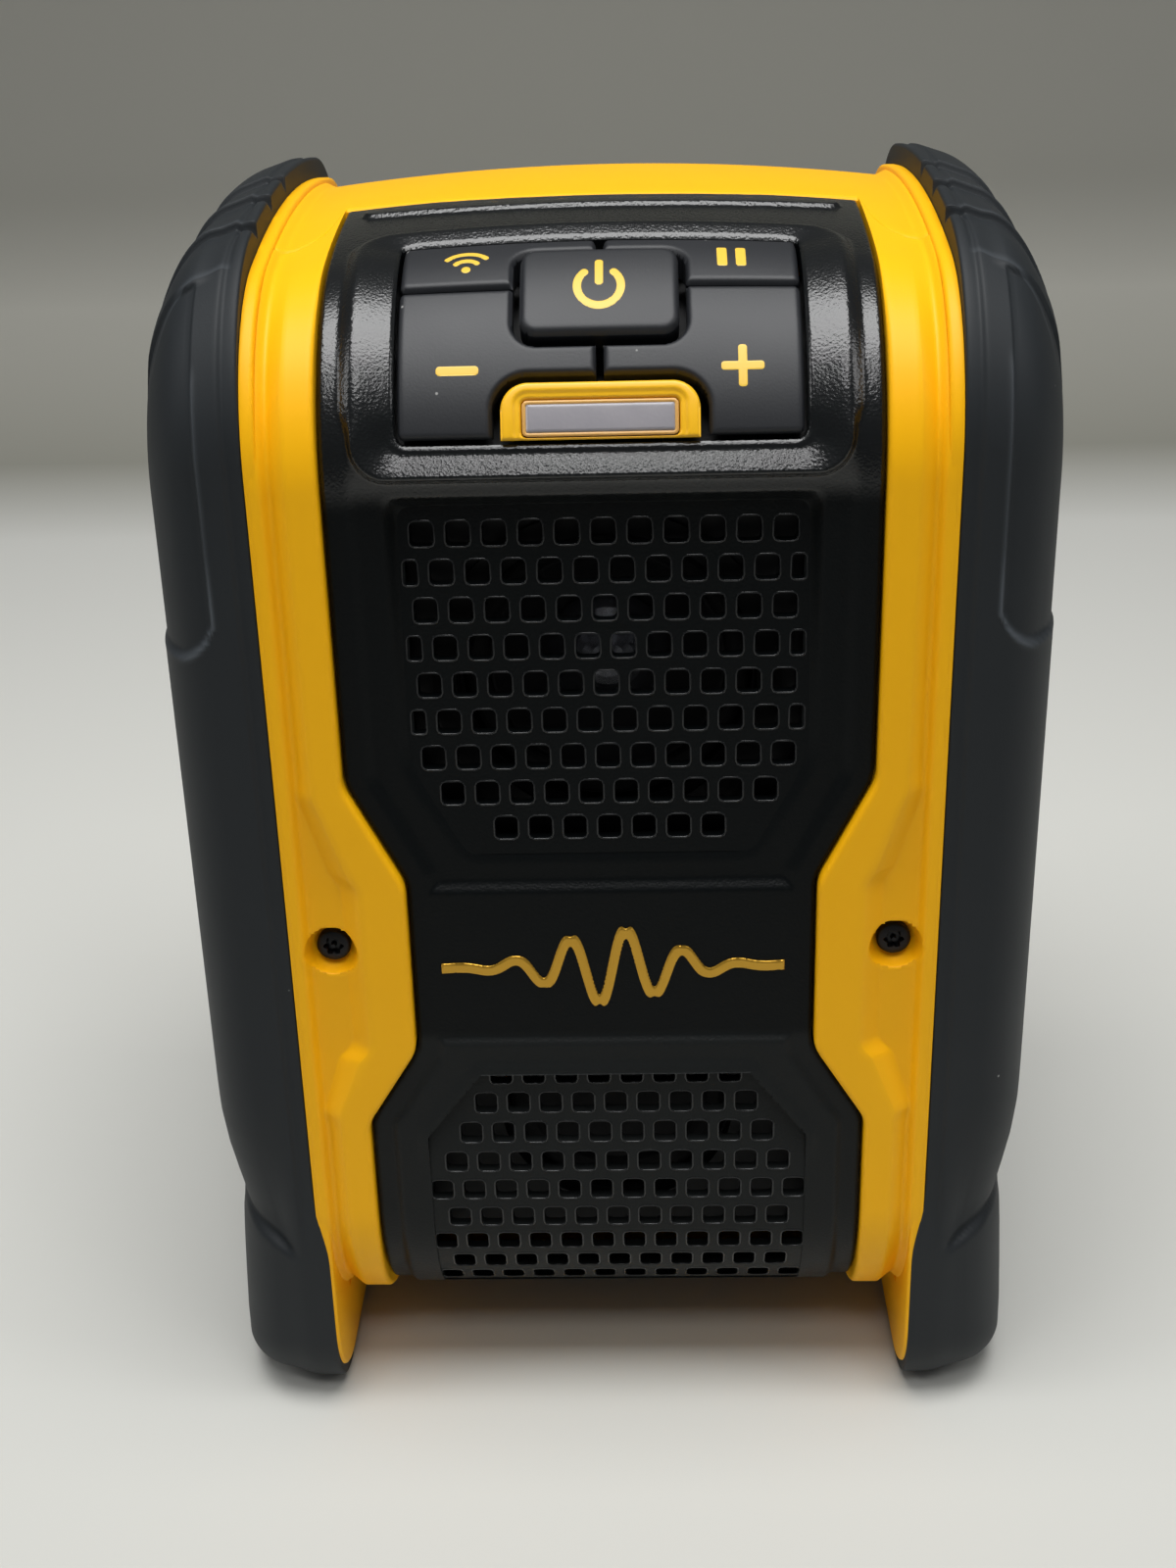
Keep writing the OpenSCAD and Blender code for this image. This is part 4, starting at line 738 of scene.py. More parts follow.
def cheek_rings():
    """Cheeks: a flat ring swept round the cheek outline, with rounded inner and outer edges."""
    shoulder, rear, low = CHEEK_TURNS
    parts = Parts()
    for side in (-1, 1):
        rings = []
        for x, i in CHEEK_SECTION:
            line, _ = side_outline(LIP_Y + i, REAR_Y - i, CHEEK_TOP - i, CHEEK_LOW + i, shoulder - i, ROOF_R - i,
                                   rear - i, low - i, CHEEK_COUNTS)
            rings.append(np.column_stack([np.full(len(line), side * x), line[:, 0], line[:, 1]]))
        parts.grid(np.stack(rings), loop_u=True, loop_v=True, flip=side > 0)
    return parts.all()


def painted_shade_sheet():
    """Dark sheet under the casing that paints shade on the belly: a flat plate on a grid, drawn down from the
    underside and rounded at its edges.
    """
    x = np.linspace(*SHADE_SHEET_X, 60)[:, None]
    y = np.linspace(*SHADE_SHEET_Y, 40)[None, :]
    size = (SHADE_SHEET_X[1] - SHADE_SHEET_X[0], SHADE_SHEET_Y[1] - SHADE_SHEET_Y[0])
    inside = rounded_inside(x, y, (0.0, sum(SHADE_SHEET_Y) / 2), size, SHADE_SHEET_R)
    z = BELLY_Z - SHADE_SHEET_DROP + SHADE_SHEET_LIFT * (1 - ease(inside / SHADE_SHEET_ROUND))
    parts = Parts()
    parts.grid(np.stack(np.broadcast_arrays(x, y, z), -1), flip=True)
    return parts.all()


def star_head(x, y, z, r):
    """Screw head as a polar height field: a domed disc with a six-lobed socket that holds a centre pin."""
    rr = np.concatenate([[0.0], np.linspace(0.12, 0.62, 16), np.linspace(0.68, 0.96, 6), [1.0, 1.0]])[:, None]
    a = np.linspace(0, 2 * math.pi, 73)[None, :]
    lobe = 0.46 + 0.09 * np.cos(6 * a)
    out = 0.35 * (1 - rr ** 2) - 0.9 * (1 - ease((rr - lobe) / 0.05)) + 0.8 * (1 - ease((rr - 0.13) / 0.05))
    out = np.where(rr > 0.9, out - round_over(np.maximum(1 - rr, 0) * r, 0.25), out)
    out = np.broadcast_to(out, (len(rr), a.shape[1])).copy()
    out[-1] = -1.6
    return np.stack([x + r * rr * np.cos(a), y - out, z - r * rr * np.sin(a)], -1)


make_piece("front_rails", *front_rails(), "yellow_nylon", "casing", ["front_frame"], "casing")
make_piece("rear_shell", *rear_shell(), "yellow_nylon", "casing", ["rear_housing"], "casing")
make_piece("cheek_rings", *cheek_rings(), "yellow_nylon", "casing", ["rear_housing"], "casing", sharp=50)
# A dark sheet under the belly paints the shade there; it stands for no part of the speaker
make_piece("painted_shade_sheet", *painted_shade_sheet(), "inner_moulding", "casing", (), "inner_plastic")
heads = Parts()
for side in (-1, 1):
    heads.grid(star_head(side * SCREW_X, BORE_FLOOR - HEAD_TALL, SCREW_Z, HEAD_R))
make_piece("star_drive_heads", *heads.all(), "black_screw", "casing", ["front_screws"], "dark_steel", sharp=50)


# Rubber bumpers

STRIP_W = 1.9
CORNER_W = 6.3
CORNER_BACK = 16.96
CORNER_DROP = (0.33, 6.6, 8.55)
CORNER_TURN = (27.31, 13.8)
BUMPER_COUNTS = (30, 250, 70, 190, 34, 250, 20, 40)
TREAD_Y = (-27.0, -14.0, -1.0)
TREAD_RUN = 13.0
TREAD_DEPTH = 1.1
PAD_LOW = 129.5
PAD_TURN = 7.0
PAD_DEPTH = 0.75
PAD_BEAD = 0.2
PAD_SIDE = 0.25
PINCH_Z = 35.0
PINCH_AT = (0.0, 12.0, 20.0, 27.0, 31.0, 33.5, 35.0, 37.0, 41.0, 46.0, 52.0)
PINCH_BY = (0.2, 0.4, 0.8, 1.2, 1.5, 1.9, 2.0, 1.8, 1.1, 0.4, 0.0)
WRAP = 1.5
WRAP_Z = 42.0
CAP_STEP = 0.45
CAP_LINE = (-41.0, 0.57, 7.6)
NOTCH_REACH = 2.6
NOTCH_DEPTH = 2.2
TREAD_LIP = 0.965
TREAD_SLANT = (0.22, 3)
CAP_CUTS = np.linspace(0.01, 0.5, 28)
TREAD_CUTS = np.array([0.0, 0.02, 0.12, 0.25, 0.4, 0.55, 0.7, 0.76, 0.82, 0.88, 0.93, 0.955, 0.965, 0.975, 0.985,
                       0.995])
STRIP_DEPTH = 0.55
SOLE_LIFT = 0.42
FOOT_R = (13.5, 3)
REAR_TURN = (25, 12)
BUMPER_ROOF_R = ROOF_R + 18
PAD_EDGE = 5.9
PAD_SOFT = 0.8
CREASE = (5.5, 0.4)
FOOT_PINCH = 2.3
RING_AT = np.concatenate([[0.0, 0.1, 0.3, 0.8, 1.3], STRIP_W + np.array([-0.3, -0.1, 0.1, 0.3, 0.5, 0.75, 1.0]),
                          [3.3, 3.8, 4.4, 5.0, 5.35, 5.6, 5.8, 5.9, 6.0, 6.2, 6.4]])


def even_treads(line, span, shift):
    """Moves the points of shoulder and roof on to fixed depths, so that the tread edges run clean from ring to
    ring. The points between keep even spacing."""
    upper = (span == 2) | (span == 3)
    src = line[upper]
    n = len(src)
    first = TREAD_Y[0] - TREAD_RUN - shift
    fixed = np.concatenate([first + TREAD_RUN * CAP_CUTS]
                           + [first + TREAD_RUN * (k + TREAD_CUTS) for k in range(len(TREAD_Y))]
                           + [[TREAD_Y[-1] - shift]])
    ahead = (n - len(fixed)) // 2
    start = src[0, 0]
    lead = start + (fixed[0] - start) * np.linspace(0, 1, ahead, endpoint=False) ** 2
    tail = fixed[-1] + (src[-1, 0] - fixed[-1]) * np.linspace(0, 1, n - len(fixed) - ahead + 1)[1:]
    at = np.sort(np.maximum(np.concatenate([lead, fixed, tail]), start))
    k = int(np.searchsorted(at, start + 1.0))
    at[:k] = start + (at[k] - start) * np.linspace(0, 1, k, endpoint=False) ** 2
    out = line.copy()
    out[upper] = np.column_stack([at] + [np.interp(at, src[:, 0], column) for column in src.T[1:]])
    return out


def pinched(z):
    """Inward draw of the outer side above the foot: deepest at the pinch, little at the sole, none higher up."""
    return np.interp(z, PINCH_AT, PINCH_BY)


def bumper(side):
    """Bumper lofted in rings of growing distance u from the cheek. Each ring is the side outline drawn in by a
    quarter-ellipse corner; strip, treads, pad, ear cap, pinch and foot are added along the ring normal."""
    w = OUTER_X - CHEEK_OUT
    us = np.concatenate([RING_AT, CORNER_W + (w - CORNER_W) * np.sin(np.linspace(0.05, 1, 42) * math.pi / 2)])
    rings, marks = [], []
    round_arc = 0.0
    last = None
    for u in us:
        # Outline of the ring
        t = min(max((u - CORNER_W) / (w - CORNER_W), 0.0), 1.0)
        q = 1 - math.sqrt(1 - t * t)
        i = CORNER_BACK * q
        if last is not None and t > 0:
            round_arc += math.hypot(u - last[0], i - last[1])
        last = (u, i)
        drop = CORNER_DROP[0] * max(u - 1, 0) + CORNER_DROP[1] * t * t + CORNER_DROP[2] * q
        line, span = side_outline(-DEPTH_HALF + i, DEPTH_HALF - i, EAR_TOP - drop, SOLE_LIFT * i,
                                  CORNER_TURN[0] - CORNER_TURN[1] * q, BUMPER_ROOF_R - i,
                                  REAR_TURN[0] - min(i, REAR_TURN[1]), max(FOOT_R[0] - i, FOOT_R[1]), BUMPER_COUNTS)
        shift = TREAD_SLANT[0] * max(u - TREAD_SLANT[1], 0)
        y, z, ny, nz = even_treads(line, span, shift).T
        upper = (span == 2) | (span == 3)
        front = (span <= 1) | ((span == 2) & (z < 175))
        # Strip beside the cheek
        foot = np.where(span <= 1, ease((WRAP_Z - z) / 14), 0)
        strip = STRIP_DEPTH * (1 - float(ease((u - STRIP_W) / 0.9)))
        push = -strip * (1 - foot) - float(round_over(np.array(u), 0.4))
        # Tread steps and the notches at their inner ends
        lane = ease((u - 1.2) / 1.2) * (1 - ease((u - 11.5) / 3.5))
        notch_lane = max(0.0, 1 - u / NOTCH_REACH)
        phase = (y + shift - TREAD_Y[0]) / TREAD_RUN
        share = np.where((phase > -1) & (phase < len(TREAD_Y) - 1), phase - np.floor(phase), 0)
        fall = 1 - ease((share - TREAD_LIP) / (1 - TREAD_LIP))
        notch = NOTCH_DEPTH * notch_lane * np.maximum(share - 0.72, 0) / 0.25 * fall
        push += np.where(upper, -TREAD_DEPTH * share * fall * lane - notch, 0)
        # Side pad with its bead, and the ear cap above it
        over = ease((y - CAP_LINE[0] - CAP_LINE[1] * max(u - CAP_LINE[2], 0)) / 0.5 + 1)
        capped = np.where(span <= 1, 0, np.where(span <= 3, over, 1))
        lower = PAD_LOW + PAD_TURN - np.sqrt(np.maximum(PAD_TURN ** 2 - max(PAD_TURN - round_arc - 0.4, 0) ** 2, 0))
        pad = ease((u - PAD_EDGE) / 0.5) * ease((z - lower) / PAD_SOFT) * (1 - capped)
        pad = pad * (1 - 0.5 * ease((z - 150) / 20))
        low_gap = np.abs(z - lower) / 0.5
        side_gap = np.where(z > lower, abs(u - PAD_EDGE) / 0.3, 1e3)
        gap = np.minimum(low_gap if u > PAD_EDGE else low_gap + 1e3, side_gap)
        bead = np.exp(-gap ** 2) * (1 - ease((z - 166) / 4))
        push += np.where(front, PAD_BEAD * bead, 0) - np.where(span <= 3, PAD_DEPTH * pad, 0)
        cap = capped * (1 - ease((phase + 0.6) / 2)) * ease((u - 4.2) / 2.5)
        cap = np.where(upper, cap, 0) * (1 - ease((u - 14.2) / 1.4))
        push += CAP_STEP * cap
        # Pinch and crease above the foot
        pinch = FOOT_PINCH * ease((58 - z) / 23) * ease((u - 2) / 6)
        crease_z = PINCH_Z - CREASE[0] + CREASE[1] * u
        pinch = pinch * (1 - 0.45 * ease((crease_z - z) / 1.6))
        crease = 0.5 * np.exp(-((z - crease_z) / 0.8) ** 2) * ease((u - 3) / 2)
        push -= np.where(span <= 1, pinch + crease, 0)
        # Outer side
        out = u - ease((u - 3) / 7) * pinched(z) - WRAP * foot * (1 - ease(u / 3))
        on_side = ease((u - 9) / 4)
        around = PAD_SIDE * ease((z - PAD_LOW) / PAD_SOFT) * on_side
        out = np.minimum(out + 0.5 * CAP_STEP * cap * on_side - around, w - pinched(z))
        rings.append(np.column_stack([side * (CHEEK_OUT + out), y + ny * push, z + nz * push]))
        # Painted highlights on the pad bead and the tread crests
        crest = np.where(upper, np.exp(-((share - 0.02) / 0.05) ** 2) * (share > 0), 0) * lane
        shine = bead * (1 - 0.6 * ease((z - lower - 3) / 8))
        marks.append(np.maximum(np.where(front, 1 - 0.6 * on_side, 0.4 * on_side) * shine, 0.35 * crest))
    for shrink in (0.8, 0.55, 0.3, 0.0):
        rings.append(rings[len(us) - 1] * (1, shrink, 1))
        marks.append(marks[len(us) - 1])
    grid = np.stack(rings)
    parts = Parts()
    parts.grid(grid, loop_v=True, flip=side > 0)
    parts.cap(grid[0], flip=side < 0)
    return *parts.all(), np.concatenate(marks + [np.zeros(grid.shape[1])])


for side, name in ((-1, "left"), (1, "right")):
    points, faces, painted_highlight = bumper(side)
    make_piece(name + "_rubber", points, faces, "bumper_rubber", "casing", [name + "_bumper"], "bumper", sharp=60,
               painted_highlight=painted_highlight)


# Front panel

def key_arc(t):
    """Arc length on the shoulder for the distance t along the slope."""
    return S_FRONT + SHOULDER_R * (KEY_TILT + math.asin(t / SHOULDER_R))


KEY_S = (key_arc(KEY_ENDS[0]), key_arc(KEY_ENDS[1]))
KEY_MID_S = (KEY_S[0] + KEY_S[1]) / 2
KEY_TALL = KEY_S[1] - KEY_S[0]
BEZEL_LOW = KEY_S[0] - 9.0
SILL = 4.6
RIDGE_HALF = 32.6
RIDGE_TOP = KEY_S[1] + 3.6
RIDGE_RISE = (1.25, 1.5)
RIDGE_FALL = (0.72, 2.4)
RIDGE_SOFT = (0.34, 0.08)
RIB = (5.6, 68.0, 2.6, 0.6)
RIM_BLACK = 2.7
FIELD_DEPTH = 1.0
FIELD_UP = 93.0
FIELD_LOW = (18.2, 69.6)
LOWER_RISE = 0.75
LOWER_RIDGE = 0.6
PANEL_CORNER, PANEL_ROUND = 1.2, 0.6
FIELD_BEVEL = (2.0, 1.5)
FIELD_FADE = (8.5, 7)
FIELD_SOFT = (0.8, 0.5)
RECESS_BAND = (2.6, 2.8)
RIDGE_FROM, RIDGE_BAND = (45, 8), (2.1, 2.0)
KEY_EDGE, KEY_EDGE_RUN = (0.1, 0.68), (2, 6)
FIELD_R = 1.6
RIDGE_R = 4.5
PLATE_DEPTH = (2.6, 3.0)


def panel_inside(x, s):
    """Distance inside the panel outline: the waisted sides, the bowed top and the lower end."""
    side = (panel_edge(s) - np.abs(x)) * edge_lean(s)
    top = panel_top(np.clip(x, -PANEL_HALF, PANEL_HALF)) - s
    low = s - arc_of_z(PANEL_BOTTOM)
    a, b = np.minimum(side - PANEL_CORNER, 0), np.minimum(top - PANEL_CORNER, 0)
    rounded = PANEL_CORNER - np.hypot(a, b) + np.maximum(np.minimum(side, top) - PANEL_CORNER, 0)
    return np.minimum(rounded, low)


def key_field(x, s):
    """Distance inside the key opening on the shoulder."""
    return rounded_inside(x, s, (0.0, KEY_MID_S), (2 * (KEY_HALF + KEY_GAP), KEY_TALL + 2 * KEY_GAP), FIELD_R)


def front_z(s):
    """Height of the front at arc length s."""
    return np.where(s > 0, s + FRONT_LOW, FRONT_LOW + SHOULDER_R * np.sin(np.clip(s / SHOULDER_R, -1.5, 0)))


def bezel_height(x, s, base):
    """Relief round the keys: a ridge on a rounded loop, from which an inner slope falls to the keys and a short
    outer one to the base; a flat rib with round ends lies behind the ridge."""
    mid = (KEY_S[0] - SILL + RIDGE_TOP) / 2
    loop = rounded_inside(x, s, (0.0, mid), (2 * RIDGE_HALF, RIDGE_TOP - KEY_S[0] + SILL), RIDGE_R)
    away = np.maximum(-key_field(x, s), 0)
    share = np.clip(loop / np.maximum(loop + away, 0.01), 0, 1)
    near_low = 1 - ease((s - KEY_S[0] + KEY_EDGE_RUN[0]) / KEY_EDGE_RUN[1])
    rise = between(RIDGE_RISE, near_low)
    inner = rise - (rise - KEY_EDGE[0] + KEY_EDGE[1] * near_low) * share
    outer = rise + loop * between(RIDGE_FALL, near_low)
    soft = between(RIDGE_SOFT, near_low)
    crest = -soft * np.logaddexp(-inner / soft, -outer / soft)
    top = panel_top(np.clip(x, -PANEL_HALF, PANEL_HALF))
    rib = rounded_inside(x, s - top, (0.0, -RIB[0]), (RIB[1], RIB[2]), RIB[2] / 2)
    return np.maximum(crest, base) + RIB[3] * ease((rib + 0.3) / 0.6)


def panel_height(x, s):
    """Relief of the whole panel: rim, field round each grille, badge band, grille recess and control bezel."""
    z = front_z(s)
    inside = panel_inside(x, s)
    up = np.minimum(np.minimum(z - FIELD_UP, 200 - z), inside - RIM_BLACK)
    low = np.minimum(np.minimum(FIELD_LOW[1] - z, inside - RIM_BLACK), z - FIELD_LOW[0] + 2)
    fade = 1 - ease((s - KEY_S[0] + FIELD_FADE[0]) / FIELD_FADE[1])
    h = -FIELD_DEPTH * ease(up / FIELD_BEVEL[0]) * fade + LOWER_RISE * ease(low / FIELD_BEVEL[1])
    o_up = soft_inside(x, z, UPPER_CORNERS, FIELD_SOFT[0])
    h = h - np.maximum(upper_floor(z) + 0.3 - FIELD_DEPTH, 0.3) * ease((o_up + RECESS_BAND[0]) / RECESS_BAND[1])
    o_low = soft_inside(x, z, LOWER_CORNERS, FIELD_SOFT[1])
    ridge = ease((z - RIDGE_FROM[0]) / RIDGE_FROM[1]) * ease((o_low + RIDGE_BAND[0]) / RIDGE_BAND[1])
    h = h + LOWER_RIDGE * ridge
    h = np.where(s > BEZEL_LOW - 2, bezel_height(x, s, h), h)
    return h - round_over(np.maximum(inside, 0), PANEL_ROUND)


def plate_cut(x, s):
    """Distance inside the plate: inside the panel, below the bezel and outside both grille fields."""
    z = front_z(s)
    hole = np.maximum(convex_inside(x, z, UPPER_CORNERS), convex_inside(x, z, LOWER_CORNERS))
    return np.minimum(np.minimum(panel_inside(x, s), 0.3 - hole), BEZEL_LOW - s)


def bezel_cut(x, s):
    """Distance inside the bezel: inside the panel, above the plate and outside the key field."""
    return np.minimum(np.minimum(panel_inside(x, s), s - BEZEL_LOW), -key_field(x, s))


def bezel_front(x, s, d):
    """Relief of the panel with the edge of the key field rounded over."""
    return panel_height(x, s) - round_over(np.maximum(-key_field(x, s), 0), 0.35)


plate = masked_plate(np.linspace(-37.4, 37.4, 211), np.linspace(arc_of_z(PANEL_BOTTOM) - 0.4, BEZEL_LOW, 400),
                     plate_cut, lambda x, s, d: panel_height(x, s), lambda h: np.minimum(h, 0) - PLATE_DEPTH[0],
                     back=False)
make_piece("panel_plate", *plate, "panel_black", "casing", ["front_panel"], "panel")
plate = masked_plate(np.linspace(-37.3, 37.3, 240), np.linspace(BEZEL_LOW - 0.3, panel_top(0.0) + 0.4, 190),
                     bezel_cut, bezel_front, lambda h: np.minimum(h, 0) - PLATE_DEPTH[1])
make_piece("control_bezel", *plate, "panel_black", "casing", ["front_panel"], "panel")


# Grilles

CORNER_POINTS = 3
MOUTH_GROW, LIP_GROW = 0.5, 0.16
LIP_TALL, THROAT = 0.14, (-0.12, -1.8)
LOWER_SINK = (46, 14)
STRIP_COLUMNS = 12


def hole_loop(w, h, r):
    """Outline of a rounded square: a quarter circle at each corner."""
    r = min(r, w / 4)
    a = np.linspace(0, math.pi / 2, CORNER_POINTS)
    out = []
    for sx, sy, turn in ((1, 1, 0), (-1, 1, 1), (-1, -1, 2), (1, -1, 3)):
        t = a + turn * math.pi / 2
        out.append(np.column_stack([sx * (w / 2 - r) + r * np.cos(t), sy * (h / 2 - r) + r * np.sin(t)]))
    return np.vstack(out)


def cell_loop(x0, x1, y0, y1):
    """Outline of a cell with as many points as hole_loop, spread along its sides from corner to corner."""
    corner = np.array([[x1, y1], [x0, y1], [x0, y0], [x1, y0]])
    t = np.linspace(-0.4, 0.4, CORNER_POINTS)[:, None]
    sides = zip(corner, np.roll(corner, 1, 0), np.roll(corner, -1, 0))
    return np.vstack([np.where(t < 0, c + (before - c) * -t, c + (after - c) * t) for c, before, after in sides])


def grille(rows, top, pitch, half, surface, limit):
    """Plate of cells. Each hole is a ring of loops: cell edge, foot of the lip, raised lip, throat and back. The
    end cells of the long rows are narrowed by the recess."""
    parts, lips = Parts(), Parts()
    for r, n in enumerate(rows):
        z = top - r * pitch
        for k in range(n):
            x = (k - (n - 1) / 2) * HOLE_PITCH
            cut = max(0.0, abs(x) + HOLE_W / 2 - half + 0.05)
            xm = x - math.copysign(cut / 2, x)
            w = HOLE_W - cut
            x0, x1 = x - HOLE_PITCH / 2, x + HOLE_PITCH / 2
            if k == 0:
                x0 = -limit
            if k == n - 1:
                x1 = limit
            mouth, lip, throat = (hole_loop(w + grow, HOLE_H + grow, HOLE_R + grow / 2) + (xm, z)
                                  for grow in (MOUTH_GROW, LIP_GROW, 0.0))
            cell = cell_loop(x0, x1, z - pitch / 2, z + pitch / 2)
            loops = [(cell, 0.0), (mouth, 0.0), (lip, LIP_TALL), (throat, THROAT[0]), (throat, THROAT[1])]
            rings = np.stack([surface(q[:, 0], q[:, 1], h) for q, h in loops])
            parts.grid(rings[:2], loop_v=True, flip=True)
            parts.grid(rings[3:], loop_v=True, flip=True)
            lips.grid(rings[1:4], loop_v=True, flip=True)
    return parts, lips


def upper_surface(x, z, h):
    """Sloped plane of the upper grille."""
    return np.column_stack([x, RAIL_Y + upper_floor(z) - h, z])


def lower_surface(x, z, h):
    """Floor of the lower grille: sunk at the top, flush with the field further down, curved under at the toe."""
    rise = h + between(LOWER_FLOOR, ease((z - LOWER_SINK[0]) / LOWER_SINK[1]))
    r = SHOULDER_R + LOWER_FLOOR[0]
    t = np.clip((FRONT_LOW - z) / r, 0, 0.999)
    return np.column_stack([x, KEY_Y - r * np.sqrt(1 - t * t) - rise + LOWER_FLOOR[0], z])


UPPER_STRIPS = ((UPPER_Z + UPPER_PITCH / 2, UPPER_ENDS[0] + GRILLE_MARGIN, 3),
                (UPPER_ENDS[1] - GRILLE_MARGIN, UPPER_Z - (len(UPPER_ROWS) - 0.5) * UPPER_PITCH, 3))
LOWER_STRIPS = ((PANEL_BOTTOM + 1.6, LOWER_Z - (len(LOWER_ROWS) - 0.5) * LOWER_PITCH, 4),)
for name, rows, top, pitch, half, surface, strips in (
        ("upper", UPPER_ROWS, UPPER_Z, UPPER_PITCH, UPPER_HALF, upper_surface, UPPER_STRIPS),
        ("lower", LOWER_ROWS, LOWER_Z, LOWER_PITCH, LOWER_HALF, lower_surface, LOWER_STRIPS)):
    limit = half + GRILLE_MARGIN
    plate, lips = grille(rows, top, pitch, half, surface, limit)
    for z0, z1, count in strips:
        x, z = np.meshgrid(np.linspace(-limit, limit, STRIP_COLUMNS), np.linspace(z0, z1, count), indexing="ij")
        plate.grid(surface(x.ravel(), z.ravel(), 0.0).reshape(STRIP_COLUMNS, count, 3))
    make_piece(name + "_grille", *plate.all(), "panel_black", "casing", ["front_panel"], "panel", sharp=40)
    make_piece(name + "_hole_lips", *lips.all(), "lip_black", "casing", ["front_panel"], "panel")


# Keys and indicator

POWER_S = (key_arc(POWER_MID - POWER_SIZE[1] / 2), key_arc(POWER_MID + POWER_SIZE[1] / 2))
LAMP_S = (KEY_S[0], key_arc(KEY_ENDS[0] + LAMP_SIZE[1]))
LENS_S = (LAMP_S[0] + 0.45, LAMP_S[1] - 2.3)
SPLIT_S = key_arc(KEY_SPLIT)
KEY_R, POWER_R, LAMP_R, LENS_R = 0.8, 2.2, 3.6, 0.7
KEY_RISE, POWER_RISE = 0.2, 1.1
KEY_ROUND = 0.85
KEY_SKIRT = 3.0
LAMP_CLEAR = 1.2
STROKE_ROOM = 0.25
POWER_X, LAMP_X, LENS_X = (-10.6, 10.6), (-13.1, 13.1), (-10.4, 10.4)


def power_inside(x, s, grow=0.0):
    """Distance inside the power key, a rounded box grown by grow."""
    size = (POWER_SIZE[0] + 2 * grow, POWER_S[1] - POWER_S[0] + 2 * grow)
    return rounded_inside(x, s, (0.0, sum(POWER_S) / 2), size, POWER_R + grow)


def lamp_inside(x, s, grow=0.0):
    """Distance inside the indicator frame: its top corners are rounded, its foot is cut straight."""
    tall = LAMP_S[1] - LAMP_S[0]
    body = rounded_inside(x, s, (0.0, LAMP_S[0]), (LAMP_SIZE[0] + 2 * grow, 2 * tall + 2 * grow), LAMP_R + grow)
    return np.minimum(body, s - LAMP_S[0] + grow)


def lens_inside(x, s, grow=0.0):
    """Distance inside the lens, a rounded box grown by grow."""
    size = (LENS_SIZE[0] + 2 * grow, LENS_S[1] - LENS_S[0] + 2 * grow)
    return rounded_inside(x, s, (0.0, sum(LENS_S) / 2), size, LENS_R + grow)


def side_key(side, low, high):
    """Outline of a key on one side, from arc length low to high."""
    def inside(x, s):
        """Least of the distances inside the key's box and outside the power key and the indicator."""
        mid = ((KEY_GAP + KEY_HALF) / 2, (low + high) / 2)
        box = rounded_inside(side * x, s, mid, (KEY_HALF - KEY_GAP, high - low), KEY_R)
        return np.minimum(np.minimum(box, -power_inside(x, s, 2 * KEY_GAP)), -lamp_inside(x, s, LAMP_CLEAR))
    return inside


def lamp_ring(x, s):
    """Distance inside the indicator frame and outside the lens."""
    return np.minimum(lamp_inside(x, s), -lens_inside(x, s, 0.12))


def lens_ring(x, s):
    """Distance inside the edge of the lens, a band along its outline."""
    return np.minimum(lens_inside(x, s), -lens_inside(x, s, -0.5))


def lamp_step(x, s):
    """Step down of the indicator frame towards the lens."""
    return -0.35 * (1 - ease((-lens_inside(x, s) - 0.8) / 0.5))


def key_piece(name, inside, x_ends, s_ends, rise, edge, look, body, node, slot, step=0.24, relief=None):
    """Key cap: the outline carried on the shoulder, with a rounded edge and, where given, an added relief."""
    def height(x, s, d):
        """Rise less the rounding of the edge, with the relief added."""
        return rise - round_over(d, edge) + (0 if relief is None else relief(x, s))

    axes = [np.arange(low - step, high + 2 * step, step) for low, high in (x_ends, s_ends)]
    plate = masked_plate(*axes, inside, height, lambda h: rise - edge - KEY_SKIRT)
    make_piece(name, *plate, look, body, [node], slot)


for side, upper, lower in ((-1, "pairing_key", "volume_down_key"), (1, "play_key", "volume_up_key")):
    x_ends = sorted((side * KEY_GAP, side * KEY_HALF))
    for key, ends, outline in (
            (upper, (SPLIT_S, KEY_S[1]), side_key(side, SPLIT_S + KEY_GAP / 2, KEY_S[1])),
            (lower, (KEY_S[0], SPLIT_S), side_key(side, KEY_S[0] + STROKE_ROOM, SPLIT_S - KEY_GAP / 2))):
        key_piece(key + "_top", outline, x_ends, ends, KEY_RISE, KEY_ROUND, "key_silicone", key + "_cap", key, "key")
key_piece("power_key_top", power_inside, POWER_X, POWER_S, POWER_RISE, 1.0, "key_silicone", "power_key_cap",
          "power_key", "key")
key_piece("lamp_surround", lamp_ring, LAMP_X, LAMP_S, 0.9, 0.5, "lamp_yellow", "casing", "lamp_frame", "lamp_frame",
          step=0.2, relief=lamp_step)
key_piece("lens_rim", lens_ring, LENS_X, LENS_S, 0.45, 0.15, "lens_edge", "casing", "lamp_lens", "lens", step=0.16)
key_piece("lamp_window", lambda x, s: lens_inside(x, s, -0.42), LENS_X, LENS_S, 0.5, 0.35, "frosted_lens", "casing",
          "lamp_lens", "lens", step=0.25)


# Printed signs and badge

SIGN_STEP = 0.12
VOLUME_X = 18.6
VOLUME_S = KEY_S[0] + 9.2
PAUSE_X = (16.4, 18.9)
PAIRING_X = -17.8
UPPER_S = (SPLIT_S + KEY_S[1]) / 2 + 0.1
POWER_MID_S = sum(POWER_S) / 2
BADGE_S = 81.0 - FRONT_LOW
BADGE_HALF = 25.0
BADGE_STEP = 0.16
WAVE_RISE, WAVE_BELL, WAVE_LONG, WAVE_STROKE = 5.6, 11.5, 8.3, 0.8


def bars(r, *boxes):
    """Outline of a sign of rounded bars, each given by its middle and size."""
    def inside(x, s):
        """Greatest of the distances inside the bars."""
        return np.maximum.reduce([rounded_inside(x, s, mid, size, r) for mid, size in boxes])
    return inside


